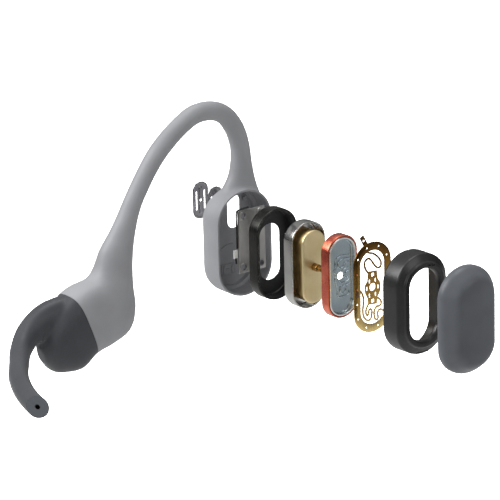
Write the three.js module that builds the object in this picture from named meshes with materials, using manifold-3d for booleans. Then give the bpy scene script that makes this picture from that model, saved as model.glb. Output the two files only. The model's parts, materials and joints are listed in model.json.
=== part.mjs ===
// Bone conduction headphones: two ear hooks on an elastic neckband, each ending in a head that holds a
// moving-coil transducer. The left transducer is drawn apart along its axis, and the right one is closed.
//
// Millimetres. +X is the wearer's right, +Y forwards, +Z up; the origin is midway between the two heads.
// Each side is built in its own frame: x runs from the head's outer face towards the wearer.
import * as THREE from "three";
import { mergeVertices } from "three/addons/utils/BufferGeometryUtils.js";
import Module from "manifold-3d";

const wasm = await Module();
wasm.setup();

// ---------------------------------------------------------------- driving dimensions
const REACH = 63; // from the middle plane to the outer face of each head
const CAP_FLATNESS = 0.9; // height of an oval's round end over half its width

const HEAD = { width: 15.8, height: 25.3, depth: 7, back: 1, wall: 0.45, corner: 2.2 };
const VENT = { y: 1.6, z: 6, width: 3.6, height: 8, pocket: 0.75 }; // slot in the back, under two plates
const VENT_PLATE = { width: 4.5, height: 8.9, thick: 0.25, slot: [0.8, 5], slotAt: 1.15, hole: 0.4 };
const KEY = { z: -6.6, width: 6.4, height: 9.2, thick: 1, proud: 0.5 }; // multifunction button, left head
const SWITCH = { from: 0.83, thick: 0.15 }; // snap dome behind that button
const BRACKET = { width: 7.9, height: 15, z: 1.4, thick: 0.35, hole: 0.7, inset: 1.4 };
const LEAD = { width: 0.35, down: 9.5, across: 3.6, gap: 0.4, plug: [1.1, 2], plugZ: -2.6 };
const RING = { width: 11.9, height: 21.6, depth: 3.2, bore: [10.25, 20.8], floor: 0.35, window: [6, 13.4] };
const YOKE = { width: 9.9, height: 20.45, depth: 3.3, wall: 0.4, floor: 0.35 };
const MAGNET = { width: 6.3, height: 16.8, thick: 4.2, plate: 0.55, lap: 0.3 };
const PIN = { foot: 0.95, footTo: 1.5, waist: 0.5, waistTo: 2.3, tip: 0.65, length: 4.2, step: 0.2 };
const COIL = { width: 8.8, height: 19.4, depth: 2.3, wall: 0.75, recess: 0.85, plate: 0.3, hole: 1.9 };
const SPRING = { width: 10.9, height: 20.9, thick: 0.2, rim: 1.95, core: [3.4, 7.6], hole: 1.7, arm: 0.45 };
const TAB = { y: -1.55, z: 9.7, width: 1.2, length: 2.9, tilt: 29, hole: 0.35 }; // the spring's solder tab
const FRAME = {
  width: 14.5, height: 23, depth: 6.1, taper: 4.8, lip: [11.2, 19.2], window: [8.8, 16.8], land: 0.55,
};
const PAD = {
  width: 15, height: 24.4, depth: 5, crown: 5, seat: [14, 22.6], socket: [11.8, 20], socketDepth: 2,
};

// Where each piece of the transducer sits on its axis in a closed head, and in the drawn-apart left head.
const CLOSED = {
  ventOuter: 0.05, ventInner: 0.45, bracket: 1.2, ring: 1.75, yoke: 2.3,
  coil: 6.6, spring: 9.1, frame: 4.9, pad: 10.1,
};
const APART = {
  ventOuter: -11.4, ventInner: -5.8, bracket: 9.2, ring: 15.6, yoke: 26.6,
  coil: 39.4, spring: 51.7, frame: 63.5, pad: 81.7,
};

// The hook and the shoulder that widens into the battery housing, front leg first. Each station is the
// centre of a section, the angle of its outer edge from +Y, its half sizes and how square it is.
const HOOK_X = 3.4;
const HOOK = [
  // y, z, angle, half height, half width, squareness
  [1.2, 9.5, 0, 6.2, 3.1, 2.2], [1.6, 12.6, 0, 4.7, 2.8, 2], [2.1, 15.2, 0, 3.4, 2.5, 2],
  [2.2, 18.0, 0, 2.65, 2.4, 2],
  [2.1, 21.1, 5, 2.35, 2.3, 2], [1.4, 24.3, 17, 2.3, 2.3, 2], [-0.2, 27.7, 38, 2.3, 2.3, 2],
  [-3.0, 30.7, 62, 2.25, 2.25, 2], [-6.9, 32.1, 87, 2.25, 2.25, 2], [-11.4, 31.9, 108, 2.25, 2.25, 2],
  [-15.2, 30.1, 122, 2.2, 2.2, 2], [-18.5, 27.9, 129, 2.2, 2.2, 2], [-21.8, 25.1, 134, 2.2, 2.2, 2],
  [-24.5, 22.0, 140, 2.15, 2.15, 2], [-27.0, 18.5, 146, 2.15, 2.15, 2], [-29.3, 14.9, 150, 2.2, 2.2, 2],
  [-31.2, 11.0, 153, 2.55, 2.5, 2], [-32.8, 7.4, 153, 3.3, 2.8, 2], [-34.4, 3.5, 152, 4.4, 3.3, 2.1],
  [-35.4, -0.9, 150, 5.2, 4.0, 2.3], [-36.2, -4.9, 140, 7.0, 4.6, 2.7], [-38.3, -7.5, 130, 8.5, 5.0, 3],
  [-42.1, -8.9, 119, 8.4, 5.15, 3.2], [-45.75, -10.15, 111, 7.95, 5.2, 3.2],
];
const HOUSING = [
  HOOK.at(-1), [-49.1, -12.35, 108, 7.7, 5.1, 3], [-52.25, -13.85, 106, 6.6, 4.6, 2.6],
  [-54.75, -14.9, 105, 4.6, 3.5, 2.2], [-56.15, -15.2, 105, 1.8, 1.5, 2],
];
const HOUSING_WALL = 1.3;
const CAVITY_FROM = 21; // the hook's station where the cavity for the cell or the circuit board begins
const SEAM_GAP = 0.3;
const SHOULDER_FRONT = [-34.2, -14.7]; // y and z of the shoulder's lower front corner
// The cell and the circuit board lie along the housing's axis: their start, length, and width and height.
const INSIDE = { length: 10.4, from: -6.4, cell: [5.8, 7.4], board: [0.8, 6.4] };

// Volume keys in the right shoulder's underside, at shares of the way from its front corner to the seam.
const KEYS_AT = [0.42, 0.78];
const VOLUME = { length: 3.4, width: 2.6, tall: 2.2, proud: 0.4, slack: 0.3, sink: 4 };
const PORT = { length: 7, width: 4.4, thick: 0.8, sunk: 0.2, slack: 0.25, station: 3 }; // charging port

// The neckband's centre line from the left housing to the middle, with its half height and half width.
const BAND = [
  // x, y, z, half height, half width
  [3.2, -45, -6.2, 3.4, 3.4], [2.8, -50, -6.9, 4.1, 3.3], [2.6, -54.5, -7.6, 3.9, 3.1],
  [3.4, -59.3, -9.4, 3.2, 2.8], [6.3, -63.6, -11.4, 2.6, 2.45], [12, -68.3, -12.2, 2.25, 2.25],
  [20, -74.1, -12.3, 2.25, 2.25], [31, -79.6, -12.3, 2.25, 2.25], [45, -83.6, -12.3, 2.3, 2.3],
  [62.2, -85.6, -12.3, 2.3, 2.3],
];
const BAND_ROOT = 0.3; // the share of that line that is moulded with the housing
const MIDDLE = [63.5, -85.6, -12.3]; // just past the middle, where the two halves of the passage meet
const WIRE = { radius: 0.5, bore: 0.75, bandFrom: 0.2, bandTo: 0.993 }; // titanium wire and its passage

// ---------------------------------------------------------------- materials
const finish = (color, roughness, metalness) =>
  new THREE.MeshStandardMaterial({ color, roughness, metalness });
const MATERIAL = {
  greySkin: finish(0x969ba0, 0.55, 0),
  darkSkin: finish(0x4b4e52, 0.55, 0),
  padSkin: finish(0x484b50, 0.5, 0),
  blackPlastic: finish(0x262626, 0.45, 0),
  keyPlastic: finish(0x6d7176, 0.45, 0),
  gunmetal: finish(0x3c3c3a, 0.4, 1),
  nickel: finish(0xc8c8c4, 0.2, 1),
  steel: finish(0x82827f, 0.35, 1),
  champagne: finish(0xbeaf82, 0.3, 1),
  bronze: finish(0x7a5c34, 0.35, 1),
  copper: finish(0xc86450, 0.35, 1),
  silver: finish(0x96a5aa, 0.25, 1),
  gold: finish(0xb4965a, 0.3, 1),
  titanium: finish(0x8c8880, 0.4, 1),
  circuit: finish(0x1f4a34, 0.6, 0),
  foil: finish(0xb0b4b8, 0.35, 0.8),
  whitePlastic: finish(0xe6e6e2, 0.5, 0),
};

// ---------------------------------------------------------------- geometry helpers
const vec = (x, y, z) => new THREE.Vector3(x, y, z);
const circleAngle = (i, steps) => (2 * Math.PI * i) / steps;

// An oval of two round ends joined by straight sides, as [y, z] points.
function oval(width, height, steps = 10) {
  const half = width / 2;
  const cap = half * CAP_FLATNESS;
  const straight = height / 2 - cap;
  const points = [];
  for (const end of [1, -1])
    for (let i = 0; i <= steps; i++) {
      const turn = (Math.PI * i) / steps;
      points.push([end * half * Math.cos(turn), end * (straight + cap * Math.sin(turn))]);
    }
  return points;
}

const circle = (radius, steps = 12) =>
  Array.from({ length: steps }, (_, i) => {
    const turn = circleAngle(i, steps);
    return [radius * Math.cos(turn), radius * Math.sin(turn)];
  });

const rectangle = (width, height) => [
  [width / 2, -height / 2], [width / 2, height / 2], [-width / 2, height / 2], [-width / 2, -height / 2],
];

const at = (points, x, y = 0, z = 0) => points.map(([py, pz]) => vec(x, y + py, z + pz));

// Signed volume of an indexed closed surface: negative when its faces point inwards.
function signedVolume(points, index) {
  let six = 0;
  for (let i = 0; i < index.length; i += 3)
    six += points[index[i]].clone().cross(points[index[i + 1]]).dot(points[index[i + 2]]);
  return six / 6;
}

// A closed surface through rings that have equally many points, with convex ends.
function loft(rings) {
  const count = rings[0].length;
  const points = rings.flat();
  const last = points.length - count;
  const index = [];
  for (let r = 0; r < last; r += count)
    for (let i = 0; i < count; i++) {
      const a = r + i;
      const b = r + ((i + 1) % count);
      index.push(a, b, b + count, a, b + count, a + count);
    }
  for (let i = 1; i < count - 1; i++) index.push(0, i + 1, i, last, last + i, last + i + 1);
  if (signedVolume(points, index) < 0) index.reverse();
  return new THREE.BufferGeometry().setFromPoints(points).setIndex(index);
}

// A plate between two planes across x.
const slab = (outline, from, to, y = 0, z = 0) => loft([at(outline, from, y, z), at(outline, to, y, z)]);

// A solid whose oval changes along x: each step is [x, width, height].
const stepped = (steps) => loft(steps.map(([x, width, height]) => at(oval(width, height), x)));
const chamfered = (width, height, depth, edge) =>
  stepped([[0, width - 2 * edge, height - 2 * edge], [edge, width, height], [depth, width, height]]);

function solid(geometry) {
  const bare = new THREE.BufferGeometry().setAttribute("position", geometry.getAttribute("position"));
  bare.setIndex(geometry.index);
  const merged = mergeVertices(bare, 1e-4);
  return new wasm.Manifold(
    new wasm.Mesh({
      numProp: 3,
      vertProperties: new Float32Array(merged.attributes.position.array),
      triVerts: new Uint32Array(merged.index.array),
    }),
  );
}

function surface(manifold) {
  const mesh = manifold.getMesh();
  const points = [];
  for (let i = 0; i < mesh.numVert * mesh.numProp; i += mesh.numProp)
    points.push(...mesh.vertProperties.slice(i, i + 3));
  return new THREE.BufferGeometry()
    .setAttribute("position", new THREE.Float32BufferAttribute(points, 3))
    .setIndex(Array.from(mesh.triVerts));
}

const cut = (body, ...tools) =>
  surface(tools.reduce((rest, tool) => rest.subtract(solid(tool)), solid(body)));
const join = (...bodies) => surface(bodies.map(solid).reduce((all, body) => all.add(body)));

// A shape drawn across x is turned so that it faces along `out`, with its height along `length`.
function turned(geometry, origin, out, length) {
  const side = out.clone().cross(length);
  const frame = new THREE.Matrix4().makeBasis(out, side.negate(), length).setPosition(origin);
  return geometry.clone().applyMatrix4(frame);
}

// ---------------------------------------------------------------- swept shapes
// A superellipse section of the hook: its outer edge points along the station's angle in the y-z plane.
function hookSection([y, z, angle, halfHeight, halfWidth, power], sides, inset = 0) {
  const lean = THREE.MathUtils.degToRad(angle);
  const bulge = (value) => Math.sign(value) * Math.abs(value) ** (2 / power);
  return Array.from({ length: sides }, (_, i) => {
    const turn = circleAngle(i, sides);
    const up = (halfHeight - inset) * bulge(Math.cos(turn));
    const out = (halfWidth - inset) * bulge(Math.sin(turn));
    return vec(HOOK_X + out, y + up * Math.cos(lean), z + up * Math.sin(lean));
  });
}

// Stations between the given ones, on smooth curves through them.
function refine(stations, steps) {
  const place = new THREE.CatmullRomCurve3(stations.map(([y, z, angle]) => vec(y, z, angle)));
  const sizes = stations.map(([, , , high, wide, power]) => vec(high, wide, power));
  const size = new THREE.CatmullRomCurve3(sizes);
  return Array.from({ length: steps + 1 }, (_, i) => {
    const where = place.getPoint(i / steps);
    const big = size.getPoint(i / steps);
    return [where.x, where.y, where.z, big.x, big.y, big.z];
  });
}

const hookBody = (stations, sides, inset = 0) => loft(stations.map((s) => hookSection(s, sides, inset)));

// A round wire or passage through the given points, as a loft of circles across its path.
function wireThrough(points, radius, steps, sides = 6) {
  const path = new THREE.CatmullRomCurve3(points);
  const rings = Array.from({ length: steps + 1 }, (_, i) => {
    const centre = path.getPoint(i / steps);
    const along = path.getTangent(i / steps);
    return ringAcross(centre, along, radius, radius, sides);
  });
  return loft(rings);
}

// An ellipse across a path. Its width stays level, or lies along x where the path climbs.
function ringAcross(centre, along, halfHeight, halfWidth, sides) {
  const steep = 0.5;
  const level = Math.abs(along.z) < steep ? vec(0, 0, 1).cross(along) : vec(1, 0, 0).projectOnPlane(along);
  const side = level.normalize();
  const up = along.clone().cross(side).normalize();
  return Array.from({ length: sides }, (_, i) => {
    const turn = circleAngle(i, sides);
    const point = centre.clone().addScaledVector(side, halfWidth * Math.cos(turn));
    return point.addScaledVector(up, halfHeight * Math.sin(turn));
  });
}

const bandLine = new THREE.CatmullRomCurve3(BAND.map(([x, y, z]) => vec(x, y, z)));
const bandSize = new THREE.CatmullRomCurve3(BAND.map(([, , , high, wide]) => vec(high, wide, 0)));

function bandBody(from, to, steps, sides = 12) {
  const rings = Array.from({ length: steps + 1 }, (_, i) => {
    const t = from + ((to - from) * i) / steps;
    const size = bandSize.getPoint(t);
    return ringAcross(bandLine.getPoint(t), bandLine.getTangent(t), size.x, size.y, sides);
  });
  return loft(rings);
}

const bandPoints = (from, to, steps) =>
  Array.from({ length: steps + 1 }, (_, i) => bandLine.getPoint(from + ((to - from) * i) / steps));

// ---------------------------------------------------------------- outer shells
const hookStations = refine(HOOK, 36);
const housingStations = refine(HOUSING, 8);

// The housing's own axis: from the middle of its mouth to the middle of its round end.
const [mouthY, mouthZ] = HOUSING[0];
const [endY, endZ] = HOUSING[2];
const housingAxis = vec(0, endY - mouthY, endZ - mouthZ).normalize();
const underside = vec(0, -housingAxis.z, housingAxis.y); // points down, square to that axis

// The passage of the spring wire, from the head's hollow over the ear to the housing's cavity.
const wireLine = HOOK.slice(2, 22).map(([y, z]) => vec(HOOK_X, y, z));

// The hollow that the shoulder and the housing share, a wall's thickness inside them.
const shoulderCavity = () => {
  const stations = HOOK.slice(CAVITY_FROM).concat([HOUSING[1]]);
  return hookBody(refine(stations, 6), 14, HOUSING_WALL);
};
const housingCavity = () => hookBody(refine([HOOK.at(-2), ...HOUSING.slice(0, 3)], 6), 14, HOUSING_WALL);

// Material across the seam, between two distances along the housing's axis.
function acrossSeam(from, to) {
  const [y, z, angle, high, wide] = HOUSING[0];
  const margin = 3;
  const section = hookSection([y, z, angle, high + margin, wide + margin, 2], 14);
  return loft([from, to].map((by) => section.map((p) => p.clone().addScaledVector(housingAxis, by))));
}

function headShell() {
  const { width, height, depth, corner } = HEAD;
  return stepped([
    [0, width - 1.6 * corner, height - 1.6 * corner], [0.12 * corner, width - corner, height - corner],
    [0.45 * corner, width - 0.45 * corner, height - 0.45 * corner], [corner, width - 0.3, height - 0.3],
    [depth - 0.3, width, height], [depth, width - 0.3, height - 0.3],
  ]);
}

function headHollow() {
  const [width, height] = [HEAD.width - 2 * HEAD.wall, HEAD.height - 2 * HEAD.wall];
  return stepped([[HEAD.back, width - 2, height - 2], [2, width, height], [HEAD.depth + 1, width, height]]);
}

function headHoles(withKey) {
  const holes = [
    slab(oval(VENT.width, VENT.height, 6), -1, HEAD.back + 1, VENT.y, VENT.z),
    slab(oval(VENT_PLATE.width + 0.3, VENT_PLATE.height + 0.3, 6), -1, VENT.pocket, VENT.y, VENT.z),
  ];
  if (withKey) holes.push(slab(oval(KEY.width, KEY.height, 6), -1, HEAD.back + 1, 0, KEY.z));
  return holes;
}

// The lower edge of a section, and the frame in which the volume keys sit on the shoulder's flat underside.
function lowerEdge([y, z, angle, high]) {
  const lean = THREE.MathUtils.degToRad(angle);
  return vec(HOOK_X, y - high * Math.cos(lean), z - high * Math.sin(lean));
}
const shoulderFront = vec(HOOK_X, ...SHOULDER_FRONT);
const seamBottom = lowerEdge(HOUSING[0]);
const lowerLine = seamBottom.clone().sub(shoulderFront).normalize();
const lowerOut = vec(0, -lowerLine.z, lowerLine.y);
const portAt = lowerEdge(housingStations[PORT.station]);

// A key or its sink: `out` points away from the housing.
function sunkenOval(width, length, inner, outer, origin, out, along) {
  return turned(slab(oval(width, length, 5), inner, outer), origin, out, along);
}

function volumeOval(share, slack, inner, outer) {
  const place = shoulderFront.clone().lerp(seamBottom, share);
  const [width, length] = [VOLUME.width + 2 * slack, VOLUME.length + 2 * slack];
  return sunkenOval(width, length, inner, outer, place, lowerOut, lowerLine);
}

function portOval(slack, inner, outer) {
  const [width, length] = [PORT.width + 2 * slack, PORT.length + 2 * slack];
  return sunkenOval(width, length, inner, outer, portAt, underside, housingAxis);
}

function earHook(isLeft) {
  const body = join(headShell(), hookBody(hookStations, 12));
  const tools = [
    headHollow(), ...headHoles(isLeft), shoulderCavity(), acrossSeam(-SEAM_GAP, SEAM_GAP),
    wireThrough(wireLine, WIRE.bore, 20),
  ];
  const keySink = (share) => volumeOval(share, VOLUME.slack, -VOLUME.sink, VOLUME.sink);
  if (!isLeft) tools.push(...KEYS_AT.map(keySink));
  return cut(body, ...tools);
}

function batteryHousing(isLeft) {
  const body = join(hookBody(housingStations, 14), bandBody(0, BAND_ROOT, 7));
  const tools = [
    acrossSeam(-12, SEAM_GAP / 2), housingCavity(),
    wireThrough(bandPoints(0.05, BAND_ROOT + 0.03, 8), WIRE.bore, 12),
  ];
  const floorGap = 0.2;
  if (!isLeft) tools.push(portOval(PORT.slack, -PORT.thick - PORT.sunk - floorGap, PORT.length));
  return cut(body, ...tools);
}

function bandCover() {
  const passage = bandPoints(BAND_ROOT - 0.02, 1, 20).concat([vec(...MIDDLE)]);
  return cut(bandBody(BAND_ROOT + 0.004, 1, 18), wireThrough(passage, WIRE.bore, 22));
}

const bandWire = () => wireThrough(bandPoints(WIRE.bandFrom, WIRE.bandTo, 20), WIRE.radius, 24);
const hookWire = () => wireThrough(wireLine.slice(0, -1), WIRE.radius, 20);

// ------------------------------------------------ transducer pieces, each from its own x = 0
function ventPlate() {
  const { width, height, thick, slot, slotAt, hole } = VENT_PLATE;
  const slots = [-1, 1].map((side) => slab(rectangle(...slot), -1, 1, side * slotAt));
  return cut(slab(oval(width, height, 6), 0, thick), slab(circle(hole, 8), -1, 1), ...slots);
}

function bracket() {
  const { width, height, thick, hole, inset } = BRACKET;
  const corners = [[1, 1], [1, -1], [-1, 1], [-1, -1]];
  const holes = corners.map(([y, z]) =>
    slab(circle(hole, 8), -1, 1, y * (width / 2 - inset), z * (height / 2 - inset)));
  return cut(slab(rectangle(width, height), 0, thick), ...holes);
}

// The thin black lead that runs round the bracket's upper corner, and the white plug at its lower end.
function bracketLead() {
  const { width, down, across, gap } = LEAD;
  const y = -BRACKET.width / 2 - gap;
  const top = BRACKET.height / 2 + gap;
  return join(
    slab(rectangle(width, down), 0, width, y, top - down / 2),
    slab(rectangle(across, width), 0, width, y + (across - width) / 2, top - width / 2),
  );
}
const leadPlug = () =>
  slab(rectangle(...LEAD.plug), 0, LEAD.width, -BRACKET.width / 2 - 2 * LEAD.gap, LEAD.plugZ);

function dampingRing() {
  const { width, height, depth, bore, floor, window } = RING;
  const body = chamfered(width, height, depth, 0.25);
  return cut(body, slab(oval(...bore), floor, depth + 1), slab(oval(...window), -1, 1));
}

function yoke() {
  const { width, height, depth, wall, floor } = YOKE;
  const body = chamfered(width, height, depth, 0.3);
  return cut(body, slab(oval(width - 2 * wall, height - 2 * wall), floor, depth + 1));
}

const GLUE = 0.03; // bond line between the stacked pieces of the magnet system
const magnetFrom = YOKE.floor + GLUE;
const plateFrom = magnetFrom + MAGNET.thick + GLUE;
const pinFrom = plateFrom + MAGNET.plate + GLUE;
const magnet = () => slab(oval(MAGNET.width, MAGNET.height), magnetFrom, magnetFrom + MAGNET.thick);
const topPlate = () =>
  slab(oval(MAGNET.width + MAGNET.lap, MAGNET.height + MAGNET.lap), plateFrom, plateFrom + MAGNET.plate);

function centrePin() {
  const { foot, footTo, waist, waistTo, tip, length, step } = PIN;
  const rings = [
    [0, foot], [footTo, foot], [footTo + step, waist], [waistTo, waist], [waistTo + step, tip],
    [length - step, tip], [length, tip - step],
  ];
  return loft(rings.map(([x, radius]) => at(circle(radius, 12), pinFrom + x)));
}

function voiceCoil() {
  const { width, height, depth, wall } = COIL;
  const inside = oval(width - 2 * wall, height - 2 * wall);
  return cut(slab(oval(width, height), 0, depth), slab(inside, -1, depth + 1));
}

function coilPlate() {
  const { width, height, depth, wall, recess, plate, hole } = COIL;
  const from = depth - recess - plate;
  const inset = 2 * wall + 0.1;
  const inside = oval(width - inset, height - inset);
  return cut(slab(inside, from, from + plate), slab(circle(hole / 2, 12), -1, depth));
}

// The spring's solder tab: it stands out of the rim until the head is closed, and is then folded along x.
function solderTab(folded) {
  const { y, z, width, length, tilt, hole } = TAB;
  const { thick } = SPRING;
  const root = 1.5;
  if (folded)
    return join(
      slab(rectangle(width, root), 0, thick, y, z + 0.15),
      slab(rectangle(width, thick), -0.7 * length, thick, y, z + root / 2),
    );
  const flat = cut(
    slab(rectangle(width, length + root / 2), 0, thick, 0, length / 2),
    slab(circle(hole, 6), -1, 1, 0, length - 2 * hole),
  );
  return flat.rotateX(THREE.MathUtils.degToRad(tilt)).translate(0, y, z);
}

// The leaf spring: an oval rim, a middle leaf with the pin's hole, and two arms that join them.
function springPlate(folded) {
  const { width, height, thick, rim, core, hole, arm } = SPRING;
  const inside = oval(width - 2 * rim, height - 2 * rim);
  const rimSolid = cut(slab(oval(width, height), 0, thick), slab(inside, -1, 1));
  const strip = (from, to) => {
    const across = vec(0, to[1] - from[1], from[0] - to[0]).normalize().multiplyScalar(arm / 2);
    const along = vec(0, to[0] - from[0], to[1] - from[1]).normalize().multiplyScalar(arm / 2);
    const start = vec(0, ...from).sub(along);
    const end = vec(0, ...to).add(along);
    const corners = [[start, 1], [end, 1], [end, -1], [start, -1]];
    const outline = corners.map(([point, turn]) => point.clone().addScaledVector(across, turn));
    return loft([0, thick].map((x) => outline.map((p) => vec(x, p.y, p.z))));
  };
  const innerTop = height / 2 - rim;
  const toLeaf = [-1.4, core[1] / 2 - 0.2];
  const route = [[0, innerTop + 0.3], [2.5, 5.4], [1.7, 4.3], [-1.1, 6.7], [-2.2, 5.8], toLeaf];
  const arms = [1, -1].flatMap((turn) => {
    const bends = route.map(([y, z]) => [turn * y, turn * z]);
    return bends.slice(1).map((to, i) => strip(bends[i], to));
  });
  const leaf = slab(rectangle(...core), 0, thick);
  return cut(join(rimSolid, leaf, solderTab(folded), ...arms), slab(circle(hole / 2, 12), -1, 1));
}

function frameBody() {
  const { width, height, depth, taper, lip, window, land } = FRAME;
  const body = stepped([
    [0, width - 0.8, height - 0.8], [0.4, width, height], [taper, width, height],
    [depth - 0.5, lip[0] + 0.6, lip[1] + 0.6], [depth, ...lip],
  ]);
  const slack = 0.3;
  const deep = taper - SPRING.thick;
  return cut(
    body, slab(oval(...window), -1, depth + 1),
    slab(oval(RING.width + slack, RING.height + slack), -1, land),
    slab(oval(SPRING.width + slack, SPRING.height + slack), -1, deep),
    slab(rectangle(TAB.width + 2.2, 5), -1, deep, TAB.y - 0.5, FRAME.height / 2 - 0.5),
  );
}

function contactPad() {
  const { width, height, depth, crown, seat, socket, socketDepth } = PAD;
  const steps = 6;
  const foot = [[-0.01, width - 0.5, height - 0.5], [0.3, width, height]];
  const dome = Array.from({ length: steps }, (_, i) => {
    const x = depth * Math.sin((Math.PI / 2) * ((i + 1) / steps));
    const inset = crown * (1 - Math.sqrt(1 - (x / depth) ** 2));
    return [x, width - 2 * inset, height - 2 * inset];
  });
  const hollow = stepped([[-1, ...seat], [0, ...seat], [1, ...socket], [socketDepth, ...socket]]);
  return cut(stepped([...foot, ...dome]), hollow);
}

// ---------------------------------------------------------------- assembly
const root = new THREE.Group();

function add(group, name, geometry, material, x = 0) {
  const mesh = new THREE.Mesh(geometry, material);
  mesh.name = name;
  mesh.position.x = x;
  group.add(mesh);
}

function addTransducer(group, side, seat) {
  const M = MATERIAL;
  const lifted = (geometry, y, z) => geometry.translate(0, y, z);
  add(group, `${side}_vent_plate_outer`, lifted(ventPlate(), VENT.y, VENT.z), M.nickel, seat.ventOuter);
  add(group, `${side}_vent_plate_inner`, lifted(ventPlate(), VENT.y, VENT.z), M.nickel, seat.ventInner);
  add(group, `${side}_bracket`, lifted(bracket(), 0, BRACKET.z), M.steel, seat.bracket);
  add(group, `${side}_bracket_lead`, lifted(bracketLead(), 0, BRACKET.z), M.blackPlastic, seat.bracket);
  add(group, `${side}_lead_plug`, lifted(leadPlug(), 0, BRACKET.z), M.whitePlastic, seat.bracket);
  add(group, `${side}_damping_ring`, dampingRing(), M.gunmetal, seat.ring);
  add(group, `${side}_yoke_cup`, yoke(), M.nickel, seat.yoke);
  add(group, `${side}_magnet`, magnet(), M.champagne, seat.yoke);
  add(group, `${side}_magnet_top_plate`, topPlate(), M.champagne, seat.yoke);
  add(group, `${side}_centre_pin`, centrePin(), M.bronze, seat.yoke);
  add(group, `${side}_voice_coil`, voiceCoil(), M.copper, seat.coil);
  add(group, `${side}_coil_plate`, coilPlate(), M.silver, seat.coil);
  add(group, `${side}_spring_plate`, springPlate(seat === CLOSED), M.gold, seat.spring);
  add(group, `${side}_transducer_frame`, frameBody(), M.blackPlastic, seat.frame);
  add(group, `${side}_contact_pad`, contactPad(), M.padSkin, seat.pad);
}

function addShells(group, side) {
  const isLeft = side === "left";
  add(group, `${side}_ear_hook`, earHook(isLeft), MATERIAL.greySkin);
  add(group, `${side}_hook_wire`, hookWire(), MATERIAL.titanium);
  const housing = isLeft ? "left_battery_housing" : "right_control_housing";
  add(group, housing, batteryHousing(isLeft), MATERIAL.darkSkin);
  add(group, `neckband_cover_${side}`, bandCover(), MATERIAL.darkSkin);
  add(group, `neckband_wire_${side}`, bandWire(), MATERIAL.titanium);
}

// A brick inside the shoulder and the housing, on the housing's axis.
function brick([wide, high]) {
  const { length, from } = INSIDE;
  const middle = vec(HOOK_X, mouthY, mouthZ).addScaledVector(housingAxis, from + length / 2);
  const ends = [-length / 2, length / 2].map((x) => at(rectangle(wide, high), x));
  return turned(loft(ends), middle, housingAxis, underside);
}

const keyOval = (slack, from, to) =>
  slab(oval(KEY.width - slack, KEY.height - slack, 6), from, to, 0, KEY.z);

const left = new THREE.Group();
left.position.x = -REACH;
addShells(left, "left");
addTransducer(left, "left", APART);
add(left, "left_battery", brick(INSIDE.cell), MATERIAL.foil);
add(left, "multifunction_button", keyOval(0.4, -KEY.proud, KEY.thick - KEY.proud), MATERIAL.keyPlastic);
add(left, "button_switch", keyOval(0.1, SWITCH.from, SWITCH.from + SWITCH.thick), MATERIAL.steel);

const right = new THREE.Group();
right.position.x = REACH;
right.scale.x = -1;
addShells(right, "right");
addTransducer(right, "right", CLOSED);
add(right, "main_circuit_board", brick(INSIDE.board), MATERIAL.circuit);
["volume_up_button", "volume_down_button"].forEach((name, i) => {
  const key = volumeOval(KEYS_AT[i], 0, VOLUME.proud - VOLUME.tall, VOLUME.proud);
  add(right, name, key, MATERIAL.keyPlastic);
});
add(right, "charging_port", portOval(0, -PORT.thick - PORT.sunk, -PORT.sunk), MATERIAL.blackPlastic);

root.add(left, right);
export default root;
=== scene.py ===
# %% [markdown]
# Bone conduction headphones.
# A headset of this kind rests two small shakers on the cheekbones and leaves the ears open. Its skin is
# one soft silicone moulding over a springy titanium wire. Here the left head is drawn apart along its own
# axis, so that every piece of the shaker can be seen, and the right head is closed. The frame that is
# loaded first holds the true sizes and places. Every piece below is a finer version of one of its solids,
# made around the same place, so nothing has to be fitted afterwards.

# %% Load the frame
import bpy
import bmesh
import json
import math
import numpy as np
from mathutils import Matrix, Vector


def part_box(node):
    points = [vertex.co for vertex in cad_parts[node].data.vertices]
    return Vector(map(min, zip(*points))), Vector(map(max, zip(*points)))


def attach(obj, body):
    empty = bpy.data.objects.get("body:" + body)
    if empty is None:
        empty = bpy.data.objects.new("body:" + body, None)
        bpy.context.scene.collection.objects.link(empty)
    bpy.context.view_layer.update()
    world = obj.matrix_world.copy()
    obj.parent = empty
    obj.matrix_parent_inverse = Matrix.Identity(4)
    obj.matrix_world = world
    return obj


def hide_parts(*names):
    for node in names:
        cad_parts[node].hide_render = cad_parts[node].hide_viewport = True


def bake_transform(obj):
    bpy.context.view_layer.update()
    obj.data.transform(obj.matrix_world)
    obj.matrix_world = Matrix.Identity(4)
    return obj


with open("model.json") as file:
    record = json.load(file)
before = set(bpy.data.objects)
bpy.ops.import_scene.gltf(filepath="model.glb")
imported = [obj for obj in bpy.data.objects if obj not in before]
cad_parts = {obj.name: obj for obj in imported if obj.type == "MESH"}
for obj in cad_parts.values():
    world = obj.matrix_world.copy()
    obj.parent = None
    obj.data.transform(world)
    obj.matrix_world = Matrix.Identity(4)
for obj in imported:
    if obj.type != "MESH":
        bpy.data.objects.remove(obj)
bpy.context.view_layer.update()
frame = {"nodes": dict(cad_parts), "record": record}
BODIES = frame["record"]["behaviour"]["bodies"]
BODY_OF = {node: body for body, nodes in BODIES.items() for node in nodes}
print("solids in the frame:", len(frame["nodes"]))

# %% [markdown]
# Each side has a frame of its own. Its x runs from the head's outer face towards the wearer, its y
# forwards and its z up, in millimetres. One function turns that into the scene's metres, so a piece is
# written once and made twice, and the right one comes out as the mirror of the left one.

# %% Places
MM = 0.001
REACH = 63.0  # from the middle plane to the outer face of each head
LEFT = -1
RIGHT = 1
SIDE_NAME = {LEFT: "left", RIGHT: "right"}


def to_scene(side, point):
    x, y, z = point
    return Vector((side * (REACH - x) * MM, y * MM, z * MM))


def outer_end(side, node):
    """How far from the head's outer face a solid of the frame begins."""
    low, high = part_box(node)
    return REACH + low.x / MM if side == LEFT else REACH - high.x / MM


def wearer_end(side, node):
    low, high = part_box(node)
    return REACH + high.x / MM if side == LEFT else REACH - low.x / MM


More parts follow.
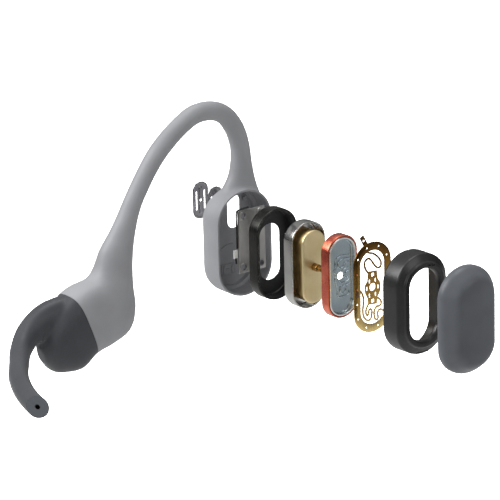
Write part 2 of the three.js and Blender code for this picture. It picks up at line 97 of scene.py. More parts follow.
print("left pad starts", round(outer_end(LEFT, "left_contact_pad"), 2), "mm from the head's outer face")

# %% [markdown]
# Nearly every piece of such a shaker is an oval that changes along its axis. It could be extruded and
# bevelled, but a loft through ovals gives each edge its own rounding and leaves clean quads. The corners
# of the profile are rounded first, each with a radius of its own, and the loft then follows the rounded
# profile.

# %% Ovals and rounded profiles
CAP_FLATNESS = 0.9  # height of the oval's round end over half its width


def oval(width, height, steps=22, straight=5):
    """An oval of two round ends and two straight sides, as (y, z) points."""
    half = width / 2
    cap = half * CAP_FLATNESS
    flat = max(height / 2 - cap, 0.01)
    points = []
    for end in (1, -1):
        turns = np.linspace(0, math.pi, steps + 1)
        points += [(end * half * math.cos(t), end * (flat + cap * math.sin(t))) for t in turns]
        side = np.linspace(1, -1, straight + 2)[1:-1]
        points += [(-end * half, end * flat * s) for s in side]
    return points


def rounded(stops, steps=5, closed=True):
    """Stops are (x, width, height, radius). Each corner becomes a short curve."""
    corners = [Vector((x, w / 2, h / 2)) for x, w, h, _ in stops]
    result = []
    for i, corner in enumerate(corners):
        radius = stops[i][3]
        if radius == 0 or (not closed and i in (0, len(corners) - 1)):
            result.append(corner)
            continue
        before = corners[i - 1] - corner
        after = corners[(i + 1) % len(corners)] - corner
        start = before.normalized() * min(radius, 0.49 * before.length)
        end = after.normalized() * min(radius, 0.49 * after.length)
        for t in np.linspace(0, 1, steps + 1):
            result.append(corner + start * (1 - t) ** 2 + end * t ** 2)
    return [(c.x, 2 * c.y, 2 * c.z) for c in result]


# %% Meshes from rings of points
SHARP = math.radians(32)  # a fold steeper than this stays a hard edge


def finished(name, mesh_data, material=None):
    """A bmesh as an object, with its faces pointing out and only its true edges sharp."""
    bmesh.ops.recalc_face_normals(mesh_data, faces=mesh_data.faces)
    for edge in mesh_data.edges:
        edge.smooth = len(edge.link_faces) == 2 and edge.calc_face_angle() < SHARP
    for face in mesh_data.faces:
        face.smooth = True
    mesh = bpy.data.meshes.new(name)
    mesh_data.to_mesh(mesh)
    mesh_data.free()
    piece = bpy.data.objects.new(name, mesh)
    bpy.context.scene.collection.objects.link(piece)
    if material:
        mesh.materials.append(material)
    return piece


def loft(name, rings, material=None, loop=False):
    """Rings of scene points with equally many points each. A loop joins the last ring to the first."""
    data = bmesh.new()
    rows = [[data.verts.new(p) for p in ring] for ring in rings]
    pairs = list(zip(rows, rows[1:])) + ([(rows[-1], rows[0])] if loop else [])
    for low, high in pairs:
        for i in range(len(low)):
            j = (i + 1) % len(low)
            data.faces.new((low[i], low[j], high[j], high[i]))
    if not loop:
        data.faces.new(rows[0])
        data.faces.new(rows[-1])
    return finished(name, data, material)


def oval_piece(name, side, start, stops, material=None, ring=False, at=(0, 0), steps=5):
    """A loft through ovals. Stops are (x, width, height, radius), with x from the piece's own start."""
    rings = []
    for x, width, height in rounded(stops, steps, closed=ring):
        rings.append([to_scene(side, (start + x, at[0] + y, at[1] + z)) for y, z in oval(width, height)])
    return loft(name, rings, material, loop=ring)


def prism(name, side, outline, low, high, material=None):
    """A plate between two depths, from an outline of (y, z) points."""
    rings = [[to_scene(side, (x, y, z)) for y, z in outline] for x in (low, high)]
    return loft(name, rings, material)


# %% [markdown]
# Some shapes are easier to cut than to loft: a slot, a sink for a key, a row of holes. Those use Boolean
# modifiers, which are applied at once, so that what is left is plain mesh. Pieces that belong together
# are joined at the end, and keep their own finishes as separate material slots.

# %% Cutting and joining


def apply_modifiers(piece):
    depsgraph = bpy.context.evaluated_depsgraph_get()
    mesh = bpy.data.meshes.new_from_object(piece.evaluated_get(depsgraph))
    old = piece.data
    piece.modifiers.clear()
    piece.data = mesh
    bpy.data.meshes.remove(old)


def combine(piece, tools, operation="DIFFERENCE"):
    """Cuts the tools out of the piece, or adds them to it, and removes them."""
    for tool in tools:
        step = piece.modifiers.new(tool.name, "BOOLEAN")
        step.operation = operation
        step.solver = "EXACT"
        step.object = tool
    apply_modifiers(piece)
    for tool in tools:
        bpy.data.objects.remove(tool)
    data = bmesh.new()
    data.from_mesh(piece.data)
    for edge in data.edges:
        edge.smooth = len(edge.link_faces) == 2 and edge.calc_face_angle(0) < SHARP
    for face in data.faces:
        face.smooth = True
    data.to_mesh(piece.data)
    data.free()
    return piece


def join(piece, others):
    """Makes one object of several, each with the finish it had."""
    with bpy.context.temp_override(active_object=piece, selected_editable_objects=[piece, *others]):
        bpy.ops.object.join()
    return piece


def settle(piece, *nodes):
    """The piece rides where its solids ride and stands for them, which are hidden."""
    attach(piece, BODY_OF[nodes[0]])
    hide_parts(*nodes)
    print(piece.name, "has", len(piece.data.polygons), "faces")
    return piece


# %% [markdown]
# Curved members follow a line through a few stations. Blender's own curves could do that, but here each
# station also has a size, a lean and a squareness, so one function runs a smooth curve through all of the
# columns.

# %% Smooth lines through stations


def through(stations, steps, place=3):
    """Rows between the given ones. The first `place` columns say where a station is."""
    rows = np.array(stations, float)
    gaps = np.sqrt(np.linalg.norm(np.diff(rows[:, :place], axis=0), axis=1))
    knots = np.concatenate([[0], np.cumsum(gaps)])
    slopes = np.gradient(rows, knots, axis=0)
    result = []
    for t in np.linspace(0, knots[-1], steps + 1):
        i = min(int(np.searchsorted(knots, t, side="right")) - 1, len(rows) - 2)
        span = knots[i + 1] - knots[i]
        u = (t - knots[i]) / span
        blend = (2 * u ** 3 - 3 * u ** 2 + 1, u ** 3 - 2 * u ** 2 + u, 3 * u ** 2 - 2 * u ** 3,
                 u ** 3 - u ** 2)
        row = blend[0] * rows[i] + blend[1] * span * slopes[i]
        result.append(row + blend[2] * rows[i + 1] + blend[3] * span * slopes[i + 1])
    return np.array(result)


def strip(name, side, start, line, width, thick, material=None, sides=4):
    """A flat or round wire along (y, z) points, lying at one depth."""
    path = through(line, 12 * (len(line) - 1), place=2)
    rings = []
    for i, (y, z) in enumerate(path):
        ahead = path[min(i + 1, len(path) - 1)] - path[max(i - 1, 0)]
        across = np.array((ahead[1], -ahead[0])) / np.linalg.norm(ahead)
        ring = []
        for k in range(sides):
            turn = 2 * math.pi * (k + 0.5) / sides
            stretch = math.sqrt(2) if sides == 4 else 1
            sideways = across * width / 2 * stretch * math.cos(turn)
            depth = start + thick / 2 * stretch * math.sin(turn)
            ring.append(to_scene(side, (depth, y + sideways[0], z + sideways[1])))
        rings.append(ring)
    return loft(name, rings, material)


# %% [markdown]
# Finishes. Each one starts from the real material and the way its surface was made. One function adds a
# node with its settings and links, and one turns a colour as a maker would write it, in sRGB hex, into
# the linear numbers that the shader needs. Patterns are placed by the object's own coordinates, which are
# metres here, so a scale is one over the real size of a grain.

# %% Node helpers


def linear(code):
    """An sRGB hex colour as linear red, green, blue and alpha."""
    channels = [int(code[i:i + 2], 16) / 255 for i in (1, 3, 5)]
    curve = [c / 12.92 if c <= 0.04045 else ((c + 0.055) / 1.055) ** 2.4 for c in channels]
    return (*curve, 1.0)


def add(material, kind, settings=None, inputs=None):
    """Adds one node. An input's value may be a number, a colour or another node's output."""
    tree = material.node_tree
    node = tree.nodes.new(kind)
    for key, value in (settings or {}).items():
        setattr(node, key, value)
    for key, value in (inputs or {}).items():
        if isinstance(value, bpy.types.NodeSocket):
            tree.links.new(value, node.inputs[key])
        else:
            node.inputs[key].default_value = value
    return node


def new_finish(name, **constants):
    """A material with one Principled shader. Its constants are set on the shader's own sockets."""
    material = bpy.data.materials.new(name)
    material.use_nodes = True
    shader = material.node_tree.nodes["Principled BSDF"]
    for key, value in constants.items():
        shader.inputs[key.replace("_", " ")].default_value = value
    where = add(material, "ShaderNodeTexCoord").outputs["Object"]
    return material, shader, where


def noise(material, where, grain_mm, detail=2.0, stretch=(1, 1, 1)):
    """Cloudy variation whose lumps are about grain_mm across, longer where stretch is small."""
    scaled = add(material, "ShaderNodeMapping", {}, {"Vector": where, "Scale": stretch}).outputs["Vector"]
    scale = 1 / (grain_mm * MM)
    inputs = {"Vector": scaled, "Scale": scale, "Detail": detail}
    return add(material, "ShaderNodeTexNoise", {}, inputs).outputs["Fac"]


def ramp(material, value, stops):
    """Colours or greys at stops between 0 and 1."""
    node = add(material, "ShaderNodeValToRGB", {}, {"Fac": value})
    elements = node.color_ramp.elements
    while len(elements) < len(stops):
        elements.new(0.5)
    for element, (position, colour) in zip(elements, stops):
        element.position = position
        element.color = colour if not isinstance(colour, float) else (colour, colour, colour, 1)
    return node.outputs["Color"]


def connect(material, shader, **links):
    for key, output in links.items():
        material.node_tree.links.new(output, shader.inputs[key.replace("_", " ")])


def bump(material, height, depth_mm, strength=1.0):
    inputs = {"Height": height, "Distance": depth_mm * MM, "Strength": strength}
    return add(material, "ShaderNodeBump", {}, inputs).outputs["Normal"]


# %% [markdown]
# Silicone. The hook, the housings and the neckband are covered in liquid silicone rubber, moulded against
# an eroded steel tool. That leaves a fine matt grain, which scatters light softly and shows no hard
# highlight. A little sheen gives the pale bloom that silicone has where it turns away, and faint clouds
# break up the colour.

# %% Silicone finishes


def moulded_silicone(name, light, dark, roughness, grain_mm=0.35):
    material, shader, where = new_finish(
        name, IOR=1.41, Sheen_Weight=0.12, Sheen_Roughness=0.45)
    clouds = noise(material, where, 9.0)
    colour = ramp(material, clouds, [(0.35, linear(dark)), (0.65, linear(light))])
    grain = noise(material, where, grain_mm, detail=1.0)  # a real eroded grain is finer, and wouldn't show
    rough = ramp(material, clouds, [(0.3, roughness - 0.03), (0.7, roughness + 0.04)])
    connect(material, shader, Base_Color=colour, Roughness=rough, Normal=bump(material, grain, 0.012, 0.6))
    return material


GREY_SILICONE = moulded_silicone("grey_moulded_silicone", "#939497", "#8b8c8f", 0.5)
DARK_SILICONE = moulded_silicone("slate_moulded_silicone", "#3b3d41", "#35373b", 0.46)
PAD_SILICONE = moulded_silicone("pad_moulded_silicone", "#595c61", "#515459", 0.4, grain_mm=0.25)
print("silicone finishes:", GREY_SILICONE.name, DARK_SILICONE.name, PAD_SILICONE.name)

# %% [markdown]
# Moulded plastics. The transducer's frame and the keys are glass-filled nylon and ABS. Spark-eroded tools
# leave a fine satin grain, and the flow of the melt leaves slow changes in gloss along the part.

# %% Plastic finishes


def moulded_plastic(name, light, dark, roughness, ior=1.5, grain_mm=0.3):
    material, shader, where = new_finish(name, IOR=ior)
    flow = noise(material, where, 3.0, stretch=(1, 1, 0.35))
    grain = noise(material, where, grain_mm, detail=1.5)
    colour = ramp(material, flow, [(0.35, linear(dark)), (0.65, linear(light))])
    rough = ramp(material, flow, [(0.3, roughness - 0.06), (0.7, roughness + 0.06)])
    connect(material, shader, Base_Color=colour, Roughness=rough, Normal=bump(material, grain, 0.01, 0.5))
    return material


CORE_SILICONE_PAINTED_GLOW, core_shader, _ = new_finish("neckband_core_painted_glow", Base_Color=linear("#3a3c3f"),
                                           Roughness=0.6)
# painted light: the neckband's inner silicone glows faintly grey, standing in for light on the face that
# the camera's near plane cuts open
core_shader.inputs["Emission Color"].default_value = linear("#55585c")
core_shader.inputs["Emission Strength"].default_value = 1.0
BLACK_NYLON = moulded_plastic("black_glass_filled_nylon", "#191919", "#121212", 0.33, ior=1.53)
KEY_ABS = moulded_plastic("grey_key_abs", "#74787d", "#696d72", 0.42, ior=1.54)
WHITE_NYLON = moulded_plastic("white_connector_nylon", "#f2f2ee", "#e6e6e0", 0.4, ior=1.53)
CABLE_PVC = moulded_plastic("black_cable_pvc", "#060606", "#030303", 0.45, ior=1.54)
GREEN_RESIST = moulded_plastic("green_solder_resist", "#1f5236", "#183f2a", 0.5, ior=1.55)
print("plastic finishes:", BLACK_NYLON.name, KEY_ABS.name, WHITE_NYLON.name)

# %% [markdown]
# Metals. A metal's colour is its reflection, so each gets metallic 1 and its own tint. What tells them
# apart is how the surface was made: bright plating is almost a mirror, a stamped sheet keeps the fine
# lines of the rolling mill, and a drawn cup has scratches that run with the draw. The lines are stretched
# noise, 0.15 to 0.4 mm apart, which is coarser than real ones so that they still show.

# %% Metal finishes


def worked_metal(name, light, dark, roughness, lines_mm=0.25, run=(1, 1, 1), relief_mm=0.004):
    material, shader, where = new_finish(name, Metallic=1.0)
    patches = noise(material, where, 5.0)
    lines = noise(material, where, lines_mm, detail=3.0, stretch=run)
    colour = ramp(material, patches, [(0.3, linear(dark)), (0.7, linear(light))])
    rough = ramp(material, lines, [(0.3, roughness * 0.75), (0.7, roughness * 1.3)])
    connect(material, shader, Base_Color=colour, Roughness=rough,
            Normal=bump(material, lines, relief_mm, 0.5))
    return material


ALONG_Z = (1, 1, 0.06)
ALONG_OVAL = (1, 0.12, 0.12)
BRIGHT_NICKEL = worked_metal("bright_nickel_plating", "#bfbebb", "#a9a8a4", 0.14, 0.3, ALONG_OVAL, 0.002)
POLISHED_RIM = worked_metal("polished_aluminium", "#f2f2f0", "#e4e4e1", 0.12, 0.3, ALONG_OVAL, 0.002)
SATIN_STEEL = worked_metal("rolled_stainless_sheet", "#b9b8b5", "#a6a5a2", 0.36, 0.15, ALONG_Z)
GUNMETAL = worked_metal("gunmetal_nickel_plating", "#3f3f3d", "#343432", 0.3, 0.2, ALONG_OVAL)
BLACK_CHROME = worked_metal("black_chrome_plating", "#a9a8ac", "#929196", 0.09, 0.3, ALONG_OVAL, 0.002)
CHAMPAGNE = worked_metal("champagne_plated_magnet", "#ecdcb0", "#e0cd9c", 0.42, 0.3, ALONG_Z, 0.001)
MAGNET_SIDE = worked_metal("bronze_plated_magnet_side", "#d0b57c", "#ad9260", 0.45, 0.3, ALONG_OVAL, 0.002)
DARK_BRONZE = worked_metal("turned_bronze", "#b38c50", "#8a6634", 0.22, 0.12, (0.2, 1, 1))
SILVER_SHEET = worked_metal("stamped_silver_sheet", "#b3c0c6", "#9fadb4", 0.2, 0.25, ALONG_Z)
TITANIUM = worked_metal("drawn_titanium_wire", "#9b968d", "#878279", 0.35, 0.15, ALONG_OVAL)
GOLD_CONTACT = worked_metal("gold_plated_contact", "#e0b45c", "#cf9f45", 0.2)
FOIL = worked_metal("laminated_pouch_foil", "#c2c6ca", "#b2b6ba", 0.38, 0.5, (1, 1, 1), 0.02)
print("metal finishes:", BRIGHT_NICKEL.name, SATIN_STEEL.name, GUNMETAL.name)

# %% [markdown]
# Copper winding. A voice coil is enamelled copper wire wound round a former, layer on layer. The enamel
# is a clear red-brown lacquer, so the coil is a coloured metal under a thin coat, and each turn of wire
# is a small ridge. The real wire is 0.06 mm thick. It is drawn at 0.25 mm here, or the ridges would
# vanish.

# %% Copper winding finish
WIRE_PITCH = 0.25  # drawn pitch of the winding, in millimetres


def copper_winding():
    material, shader, where = new_finish("enamelled_copper_winding", Metallic=1.0, Coat_Weight=0.4,
                                         Coat_Roughness=0.12, Coat_IOR=1.55)
    patches = noise(material, where, 4.0)
    colour = ramp(material, patches, [(0.3, linear("#c4503c")), (0.7, linear("#e0765a"))])
    settings = {"wave_type": "BANDS", "bands_direction": "X", "wave_profile": "SIN"}
    scale = math.pi / 10 / (WIRE_PITCH * MM)  # one band has a width of pi / 10 / scale
    inputs = {"Vector": where, "Scale": scale, "Distortion": 0.0}
    turns = add(material, "ShaderNodeTexWave", settings, inputs).outputs["Fac"]
    rough = ramp(material, patches, [(0.3, 0.22), (0.7, 0.32)])
    connect(material, shader, Base_Color=colour, Roughness=rough, Normal=bump(material, turns, 0.02, 0.7))
    return material


COPPER = copper_winding()

# %% [markdown]
# Spring alloy. The spring plate is etched from thin copper-beryllium sheet. Its colour is a painted
# reflection:
# it runs along the plate's height, which is z in the object's own coordinates, from light straw at the
# bottom to dark brown at the top, standing in for a reflection that is dark above and bright below.

# %% Spring alloy finish
SPRING_HALF_HEIGHT = 10.5  # mm


def spring_alloy_painted_reflection():
    material, shader, where = new_finish("spring_alloy_with_painted_reflection", Metallic=1.0)
    height = add(material, "ShaderNodeSeparateXYZ", {}, {"Vector": where}).outputs["Z"]
    limits = {"Value": height, "From Min": -SPRING_HALF_HEIGHT * MM, "From Max": SPRING_HALF_HEIGHT * MM}
    share = add(material, "ShaderNodeMapRange", {}, limits).outputs["Result"]
    patches = noise(material, where, 2.5)
    mixed = add(material, "ShaderNodeMath", {"operation": "MULTIPLY_ADD"}, {0: patches, 1: 0.25, 2: share})
    # painted reflection: light straw at the bottom of the plate, dark brown at the top
    painted_reflection_colours = [(0.1, linear("#f0d693")), (0.5, linear("#d2a95c")), (0.85, linear("#9a7234")),
            (1.0, linear("#6f5026"))]
    rough = ramp(material, patches, [(0.3, 0.2), (0.7, 0.32)])
    connect(material, shader, Base_Color=ramp(material, mixed.outputs["Value"], painted_reflection_colours), Roughness=rough)
    return material


SPRING_ALLOY_PAINTED_REFLECTION = spring_alloy_painted_reflection()
DARK_RESIN = moulded_plastic("brown_damping_resin", "#6b4a2a", "#573a20", 0.4, ior=1.55)

# %% [markdown]
# The skin. On the real headset a silicone skin is moulded over the wire, so the head, the hook, the
# shoulder and the neckband flow into each other without a step. A good way to get that is to make each as
# a loft, fuse them with a voxel remesh, and let a smoothing pass rub down the valleys where they meet.
# The result is cut along the seam into a grey half and a dark half, so the surface runs straight across
# the seam.

# %% Stations of the hook, the housing and the neckband
HOOK_X = 3.4
HOOK = [
    # y, z, angle of the outer edge, half height, half width, squareness
    (1.2, 9.5, 0, 6.2, 3.1, 2.2), (1.6, 12.6, 0, 4.7, 2.8, 2), (2.1, 15.2, 0, 3.4, 2.5, 2),
    (2.2, 18.0, 0, 2.65, 2.4, 2), (2.1, 21.1, 5, 2.35, 2.3, 2), (1.4, 24.3, 17, 2.3, 2.3, 2),
    (-0.2, 27.7, 38, 2.3, 2.3, 2), (-3.0, 30.7, 62, 2.25, 2.25, 2), (-6.9, 32.1, 87, 2.25, 2.25, 2),
    (-11.4, 31.9, 108, 2.25, 2.25, 2), (-15.2, 30.1, 122, 2.2, 2.2, 2), (-18.5, 27.9, 129, 2.2, 2.2, 2),
    (-21.8, 25.1, 134, 2.2, 2.2, 2), (-24.5, 22.0, 140, 2.15, 2.15, 2), (-27.0, 18.5, 146, 2.15, 2.15, 2),
    (-29.3, 14.9, 150, 2.2, 2.2, 2), (-31.2, 11.0, 153, 2.55, 2.5, 2), (-32.8, 7.4, 153, 3.3, 2.8, 2),
    (-34.4, 3.5, 152, 4.4, 3.3, 2.1), (-35.4, -0.9, 150, 5.2, 4.0, 2.3), (-36.2, -4.9, 140, 7.0, 4.6, 2.7),
    (-38.3, -7.5, 130, 8.5, 5.0, 3), (-42.1, -8.9, 119, 8.4, 5.15, 3.2),
]
SEAM = (-45.75, -10.15, 111, 7.95, 5.2, 3.2)
HOUSING = [
    (-49.1, -12.5, 108, 8.0, 5.1, 3), (-52.25, -13.85, 106, 6.6, 4.6, 2.6),
    (-54.75, -14.9, 105, 4.6, 3.5, 2.2),
    (-56.15, -15.2, 105, 1.8, 1.5, 2),
]
BAND = [
    # x, y, z, half height, half width
    (3.2, -45, -6.2, 3.4, 3.4), (2.8, -50, -6.9, 4.1, 3.3), (2.6, -54.5, -7.6, 3.9, 3.1),
    (3.4, -59.3, -9.4, 3.2, 2.8), (6.3, -63.6, -11.4, 2.6, 2.45), (12, -68.3, -12.2, 2.25, 2.25),
    (20, -74.1, -12.3, 2.25, 2.25), (31, -79.6, -12.3, 2.25, 2.25), (45, -83.6, -12.3, 2.3, 2.3),
    (REACH, -85.6, -12.3, 2.3, 2.3),
]
HEAD_WIDTH, HEAD_HEIGHT, HEAD_DEPTH = 15.8, 25.3, 7.0
WALL = 0.45  # the head's rim


def section(station, sides=48, inset=0.0, shift=(0, 0)):
    """A rounded section of the hook, as points of the side's own frame."""
    y, z, angle, high, wide, power = station
    lean = math.radians(angle)
    points = []
    for i in range(sides):
        turn = 2 * math.pi * i / sides
        c, s = math.cos(turn), math.sin(turn)
        up = (high - inset) * math.copysign(abs(c) ** (2 / power), c)
        out = (wide - inset) * math.copysign(abs(s) ** (2 / power), s)
        points.append((HOOK_X + out, y + shift[0] + up * math.cos(lean),
                       z + shift[1] + up * math.sin(lean)))
    return points


def band_section(row, ahead, sides=40):
    """A level ellipse across the neckband."""
    x, y, z, high, wide = row
    along = Vector(ahead).normalized()
    level = Vector((0, 0, 1)).cross(along).normalized()
    up = along.cross(level)
    turns = [2 * math.pi * i / sides for i in range(sides)]
    centre = Vector((x, y, z))
    return [centre + level * wide * math.cos(t) + up * high * math.sin(t) for t in turns]


print("the hook runs through", len(HOOK), "stations")

# %% Fuse the lofts and smooth the valleys
VOXEL = 0.28  # mm


def fused_skin():
    head_stops = [(0, 7.5, 17, 0), (0, HEAD_WIDTH - 0.2, HEAD_HEIGHT - 0.2, 2.9),
                  (8.6, HEAD_WIDTH, HEAD_HEIGHT, 0)]
    head = oval_piece("head", LEFT, 0, head_stops, steps=10)
    hook_rows = through([*HOOK, SEAM, *HOUSING], 150)
    hook = loft("hook", [[to_scene(LEFT, p) for p in section(row)] for row in hook_rows])
    past_middle = (REACH + 3, *BAND[-1][1:])
    band_rows = through([*BAND, past_middle], 126)
    headings = np.gradient(band_rows[:, :3], axis=0)
    headings[-1] = (1, 0, 0)
    band_rings = [band_section(row, heading) for row, heading in zip(band_rows, headings)]
    band = loft("band", [[to_scene(LEFT, p) for p in ring] for ring in band_rings])
    skin = join(head, [hook, band])
    remesh = skin.modifiers.new("fuse", "REMESH")
    remesh.mode = "VOXEL"
    remesh.voxel_size = VOXEL * MM
    apply_modifiers(skin)
    valley = skin.vertex_groups.new(name="valley")
    for vertex in skin.data.vertices:
        y, z = vertex.co.y / MM, vertex.co.z / MM
        at_root = math.exp(-((z - 12.5) / 2.6) ** 2) if y > -12 else 0
        at_band = math.exp(-((y + 51) ** 2 + (z + 9) ** 2) / 30)
        valley.add([vertex.index], max(at_root, 0.85 * at_band), "REPLACE")
    everywhere = skin.modifiers.new("even", "SMOOTH")
    everywhere.factor = 0.5
    everywhere.iterations = 6
    flowing = skin.modifiers.new("flow", "SMOOTH")
    flowing.factor = 0.5
    flowing.iterations = 60
    flowing.vertex_group = "valley"
    apply_modifiers(skin)
    skin.vertex_groups.clear()
    return skin


skin = fused_skin()
print("the fused skin has", len(skin.data.polygons), "faces")

# %% [markdown]
# The seam between the grey shoulder and the dark housing is a plane across the part. Bisecting the mesh
# there gives two clean halves. The right side is the same shape, mirrored, before the keys and the port
# are cut.

# %% Split at the seam
SEAM_CRACK = 0.04  # mm on each side


def seam_plane():
    y, z, angle = SEAM[:3]
    lean = math.radians(angle)
    point = to_scene(LEFT, (HOOK_X, y, z))
    return point, Vector((0, -math.sin(lean), math.cos(lean)))


def half_of(whole, name, side, beyond):
    """The part of the skin before or beyond the seam, mirrored for the right side."""
    point, away = seam_plane()
    data = bmesh.new()
    data.from_mesh(whole.data)
    keep = away if beyond else -away
    plane = {"plane_co": point + keep * SEAM_CRACK * MM, "plane_no": keep, "clear_inner": True}
    cut = bmesh.ops.bisect_plane(data, geom=[*data.verts, *data.edges, *data.faces], **plane)
    rim = [g for g in cut["geom_cut"] if isinstance(g, bmesh.types.BMEdge)]
    bmesh.ops.edgenet_fill(data, edges=rim)
    if beyond:  # the band ends in a flat face at the middle plane
        middle = {"plane_co": (0, 0, 0), "plane_no": (-1, 0, 0), "clear_inner": True}
        cut = bmesh.ops.bisect_plane(data, geom=[*data.verts, *data.edges, *data.faces], **middle)
        rim = [g for g in cut["geom_cut"] if isinstance(g, bmesh.types.BMEdge)]
        bmesh.ops.edgenet_fill(data, edges=rim)
    if side == RIGHT:
        data.transform(Matrix.Diagonal((-1, 1, 1, 1)))
    return finished(name, data)


halves = {}
for side in (LEFT, RIGHT):
    halves[side] = [half_of(skin, SIDE_NAME[side] + "_grey_skin", side, False),
                    half_of(skin, SIDE_NAME[side] + "_dark_skin", side, True)]
bpy.data.objects.remove(skin)

# %% [markdown]
# The head is a thin cup, and both housings are hollow for the cell and the circuit board. The hollows are
# the same lofts again, a wall's thickness smaller. In the back of the head, a slot lets sound pressure
# out under the two vent plates, and the left head has a hole for its button as well.

# %% Hollow the head and the housings
VENT_AT = (1.6, 6.0)
KEY_AT = (0.0, -6.6)
HOUSING_WALL = 1.3


def axis_of_housing():
    mouth, end = np.array(SEAM[:2]), np.array(HOUSING[1][:2])
    return (end - mouth) / np.linalg.norm(end - mouth)


def cavity(side, stations, name):
    rows = through(stations, 14)
    return loft(name, [[to_scene(side, p) for p in section(row, inset=HOUSING_WALL)] for row in rows])


def head_tools(side):
    width, height = HEAD_WIDTH - 2 * WALL, HEAD_HEIGHT - 2 * WALL
    hollow = [(1, width - 4, height - 4, 0), (1, width - 1.6, height - 1.6, 0.4),
              (2.3, width - 1.5, height - 1.5, 0.1), (2.5, width, height, 0.1), (9.5, width, height, 0)]
    tools = [oval_piece("hollow", side, 0, hollow)]
    face = [(HEAD_DEPTH, 40, 50, 0), (12, 40, 50, 0)]
    tools.append(oval_piece("rim_plane", side, 0, face))
    tools.append(oval_piece("vent_slot", side, 0, [(-1, 3.6, 8, 0), (2, 3.6, 8, 0)], at=VENT_AT))
    tools.append(oval_piece("vent_pocket", side, 0, [(-1, 4.8, 9.2, 0), (0.75, 4.8, 9.2, 0)], at=VENT_AT))
    if side == LEFT:
        tools.append(oval_piece("key_hole", side, 0, [(-1, 6.4, 9.2, 0), (2, 6.4, 9.2, 0)], at=KEY_AT))
    return tools


SHOULDER_CAVITY = [(-36.2, -4.9, 140, 7.0, 4.6, 2.7), *HOOK[-2:], SEAM, HOUSING[0]]
HOUSING_CAVITY = [HOOK[-1], SEAM, *HOUSING[:2]]
KEY_SHARES = (0.42, 0.78)  # volume keys, on the way from the shoulder's lower front corner to the seam
SHOULDER_FRONT = np.array((-34.2, -14.7))


def lower_edge(station):
    y, z, angle, high = station[:4]
    return np.array((y - high * math.cos(math.radians(angle)), z - high * math.sin(math.radians(angle))))


def lying_oval(name, side, width, length, stops, centre, out, along, material=None):
    """An oval that faces along `out` and is long along `along`, both in the y-z plane.

    Stops are (depth, inset).
    """
    rings = []
    for depth, inset in stops:
        ring = []
        for across, up in oval(width - 2 * inset, length - 2 * inset, steps=14, straight=3):
            y, z = centre + out * depth + along * up
            ring.append(to_scene(side, (HOOK_X + across, y, z)))
        rings.append(ring)
    return loft(name, rings, material)


seam_bottom = lower_edge(SEAM)
key_along = (seam_bottom - SHOULDER_FRONT) / np.linalg.norm(seam_bottom - SHOULDER_FRONT)
key_out = np.array((-key_along[1], key_along[0]))
port_along = axis_of_housing()
port_out = np.array((-port_along[1], port_along[0]))
port_low, port_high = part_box("charging_port")
port_middle = np.array(((port_low.y + port_high.y) / 2, (port_low.z + port_high.z) / 2)) / MM

for side, (grey, dark) in halves.items():
    tools = head_tools(side) + [cavity(side, SHOULDER_CAVITY, "shoulder_cavity")]
    if side == RIGHT:
        for share in KEY_SHARES:
            centre = SHOULDER_FRONT + share * (seam_bottom - SHOULDER_FRONT)
            tools.append(lying_oval("key_sink", side, 3.2, 4.0, [(-4, 0), (0.1, 0), (2.5, -0.6)],
                                    centre, key_out, key_along))
    combine(grey, tools)
    tools = [cavity(side, HOUSING_CAVITY, "housing_cavity")]
    if side == RIGHT:
        tools.append(lying_oval("port_sink", side, 4.9, 7.5, [(-0.7, 0), (0.6, 0), (3, -0.8)],
                                port_middle, port_out, port_along))
    combine(dark, tools)
    grey.data.materials.clear()
    grey.data.materials.append(GREY_SILICONE)
    dark.data.materials.clear()
    dark.data.materials.append(DARK_SILICONE)
    print(SIDE_NAME[side], "skins have", len(grey.data.polygons), "and", len(dark.data.polygons), "faces")

# %% [markdown]
# Inside the head's floor there are moulded details: a ledge that the bracket rests on, a raised seat for
# the lead's connector and two small locating pins. They are part of the same moulding, so they join the
# grey skin. The dark skin is joined with the neckband's core and is not attached to either side's body.

# %% Seats inside the head, then settle the skins


def box_piece(name, side, low, high, material, edge=0.12):
    """A block between two corners of the side's own frame, with bevelled edges."""
    data = bmesh.new()
    bmesh.ops.create_cube(data, size=1)
    for vertex in data.verts:
        local = [low[i] + (vertex.co[i] + 0.5) * (high[i] - low[i]) for i in range(3)]
        vertex.co = to_scene(side, local)
    bmesh.ops.bevel(data, geom=data.edges[:], offset=edge * MM, segments=2, affect="EDGES", profile=0.5)
    return finished(name, data, material)


def peg(name, side, stops, at, material, sides=24):
    """A turned piece on the x axis. Stops are (x, radius)."""
    turns = [2 * math.pi * i / sides for i in range(sides)]
    rings = [[to_scene(side, (x, at[0] + r * math.cos(t), at[1] + r * math.sin(t))) for t in turns]
             for x, r in stops]
    return loft(name, rings, material)


BORE = 0.62  # mm, the radius of the passage round the wire


def band_core(side):
    """The solid silicone inside the neckband. Its faint glow stands in for light on a cut face."""
    rows = through(BAND, 60)
    headings = np.gradient(rows[:, :3], axis=0)
    headings[-1] = (1, 0, 0)
    surfaces = []
    for wall in (0.12, None):
        rings = []
        for row, heading in list(zip(rows, headings))[24:]:
            size = (row[3] - wall, row[4] - wall) if wall else (BORE, BORE)
            rings.append([to_scene(side, p) for p in band_section([*row[:3], *size], heading, sides=24)])
        surfaces.append(loft("band_core", rings, CORE_SILICONE_PAINTED_GLOW))
    return join(surfaces[0], surfaces[1:])


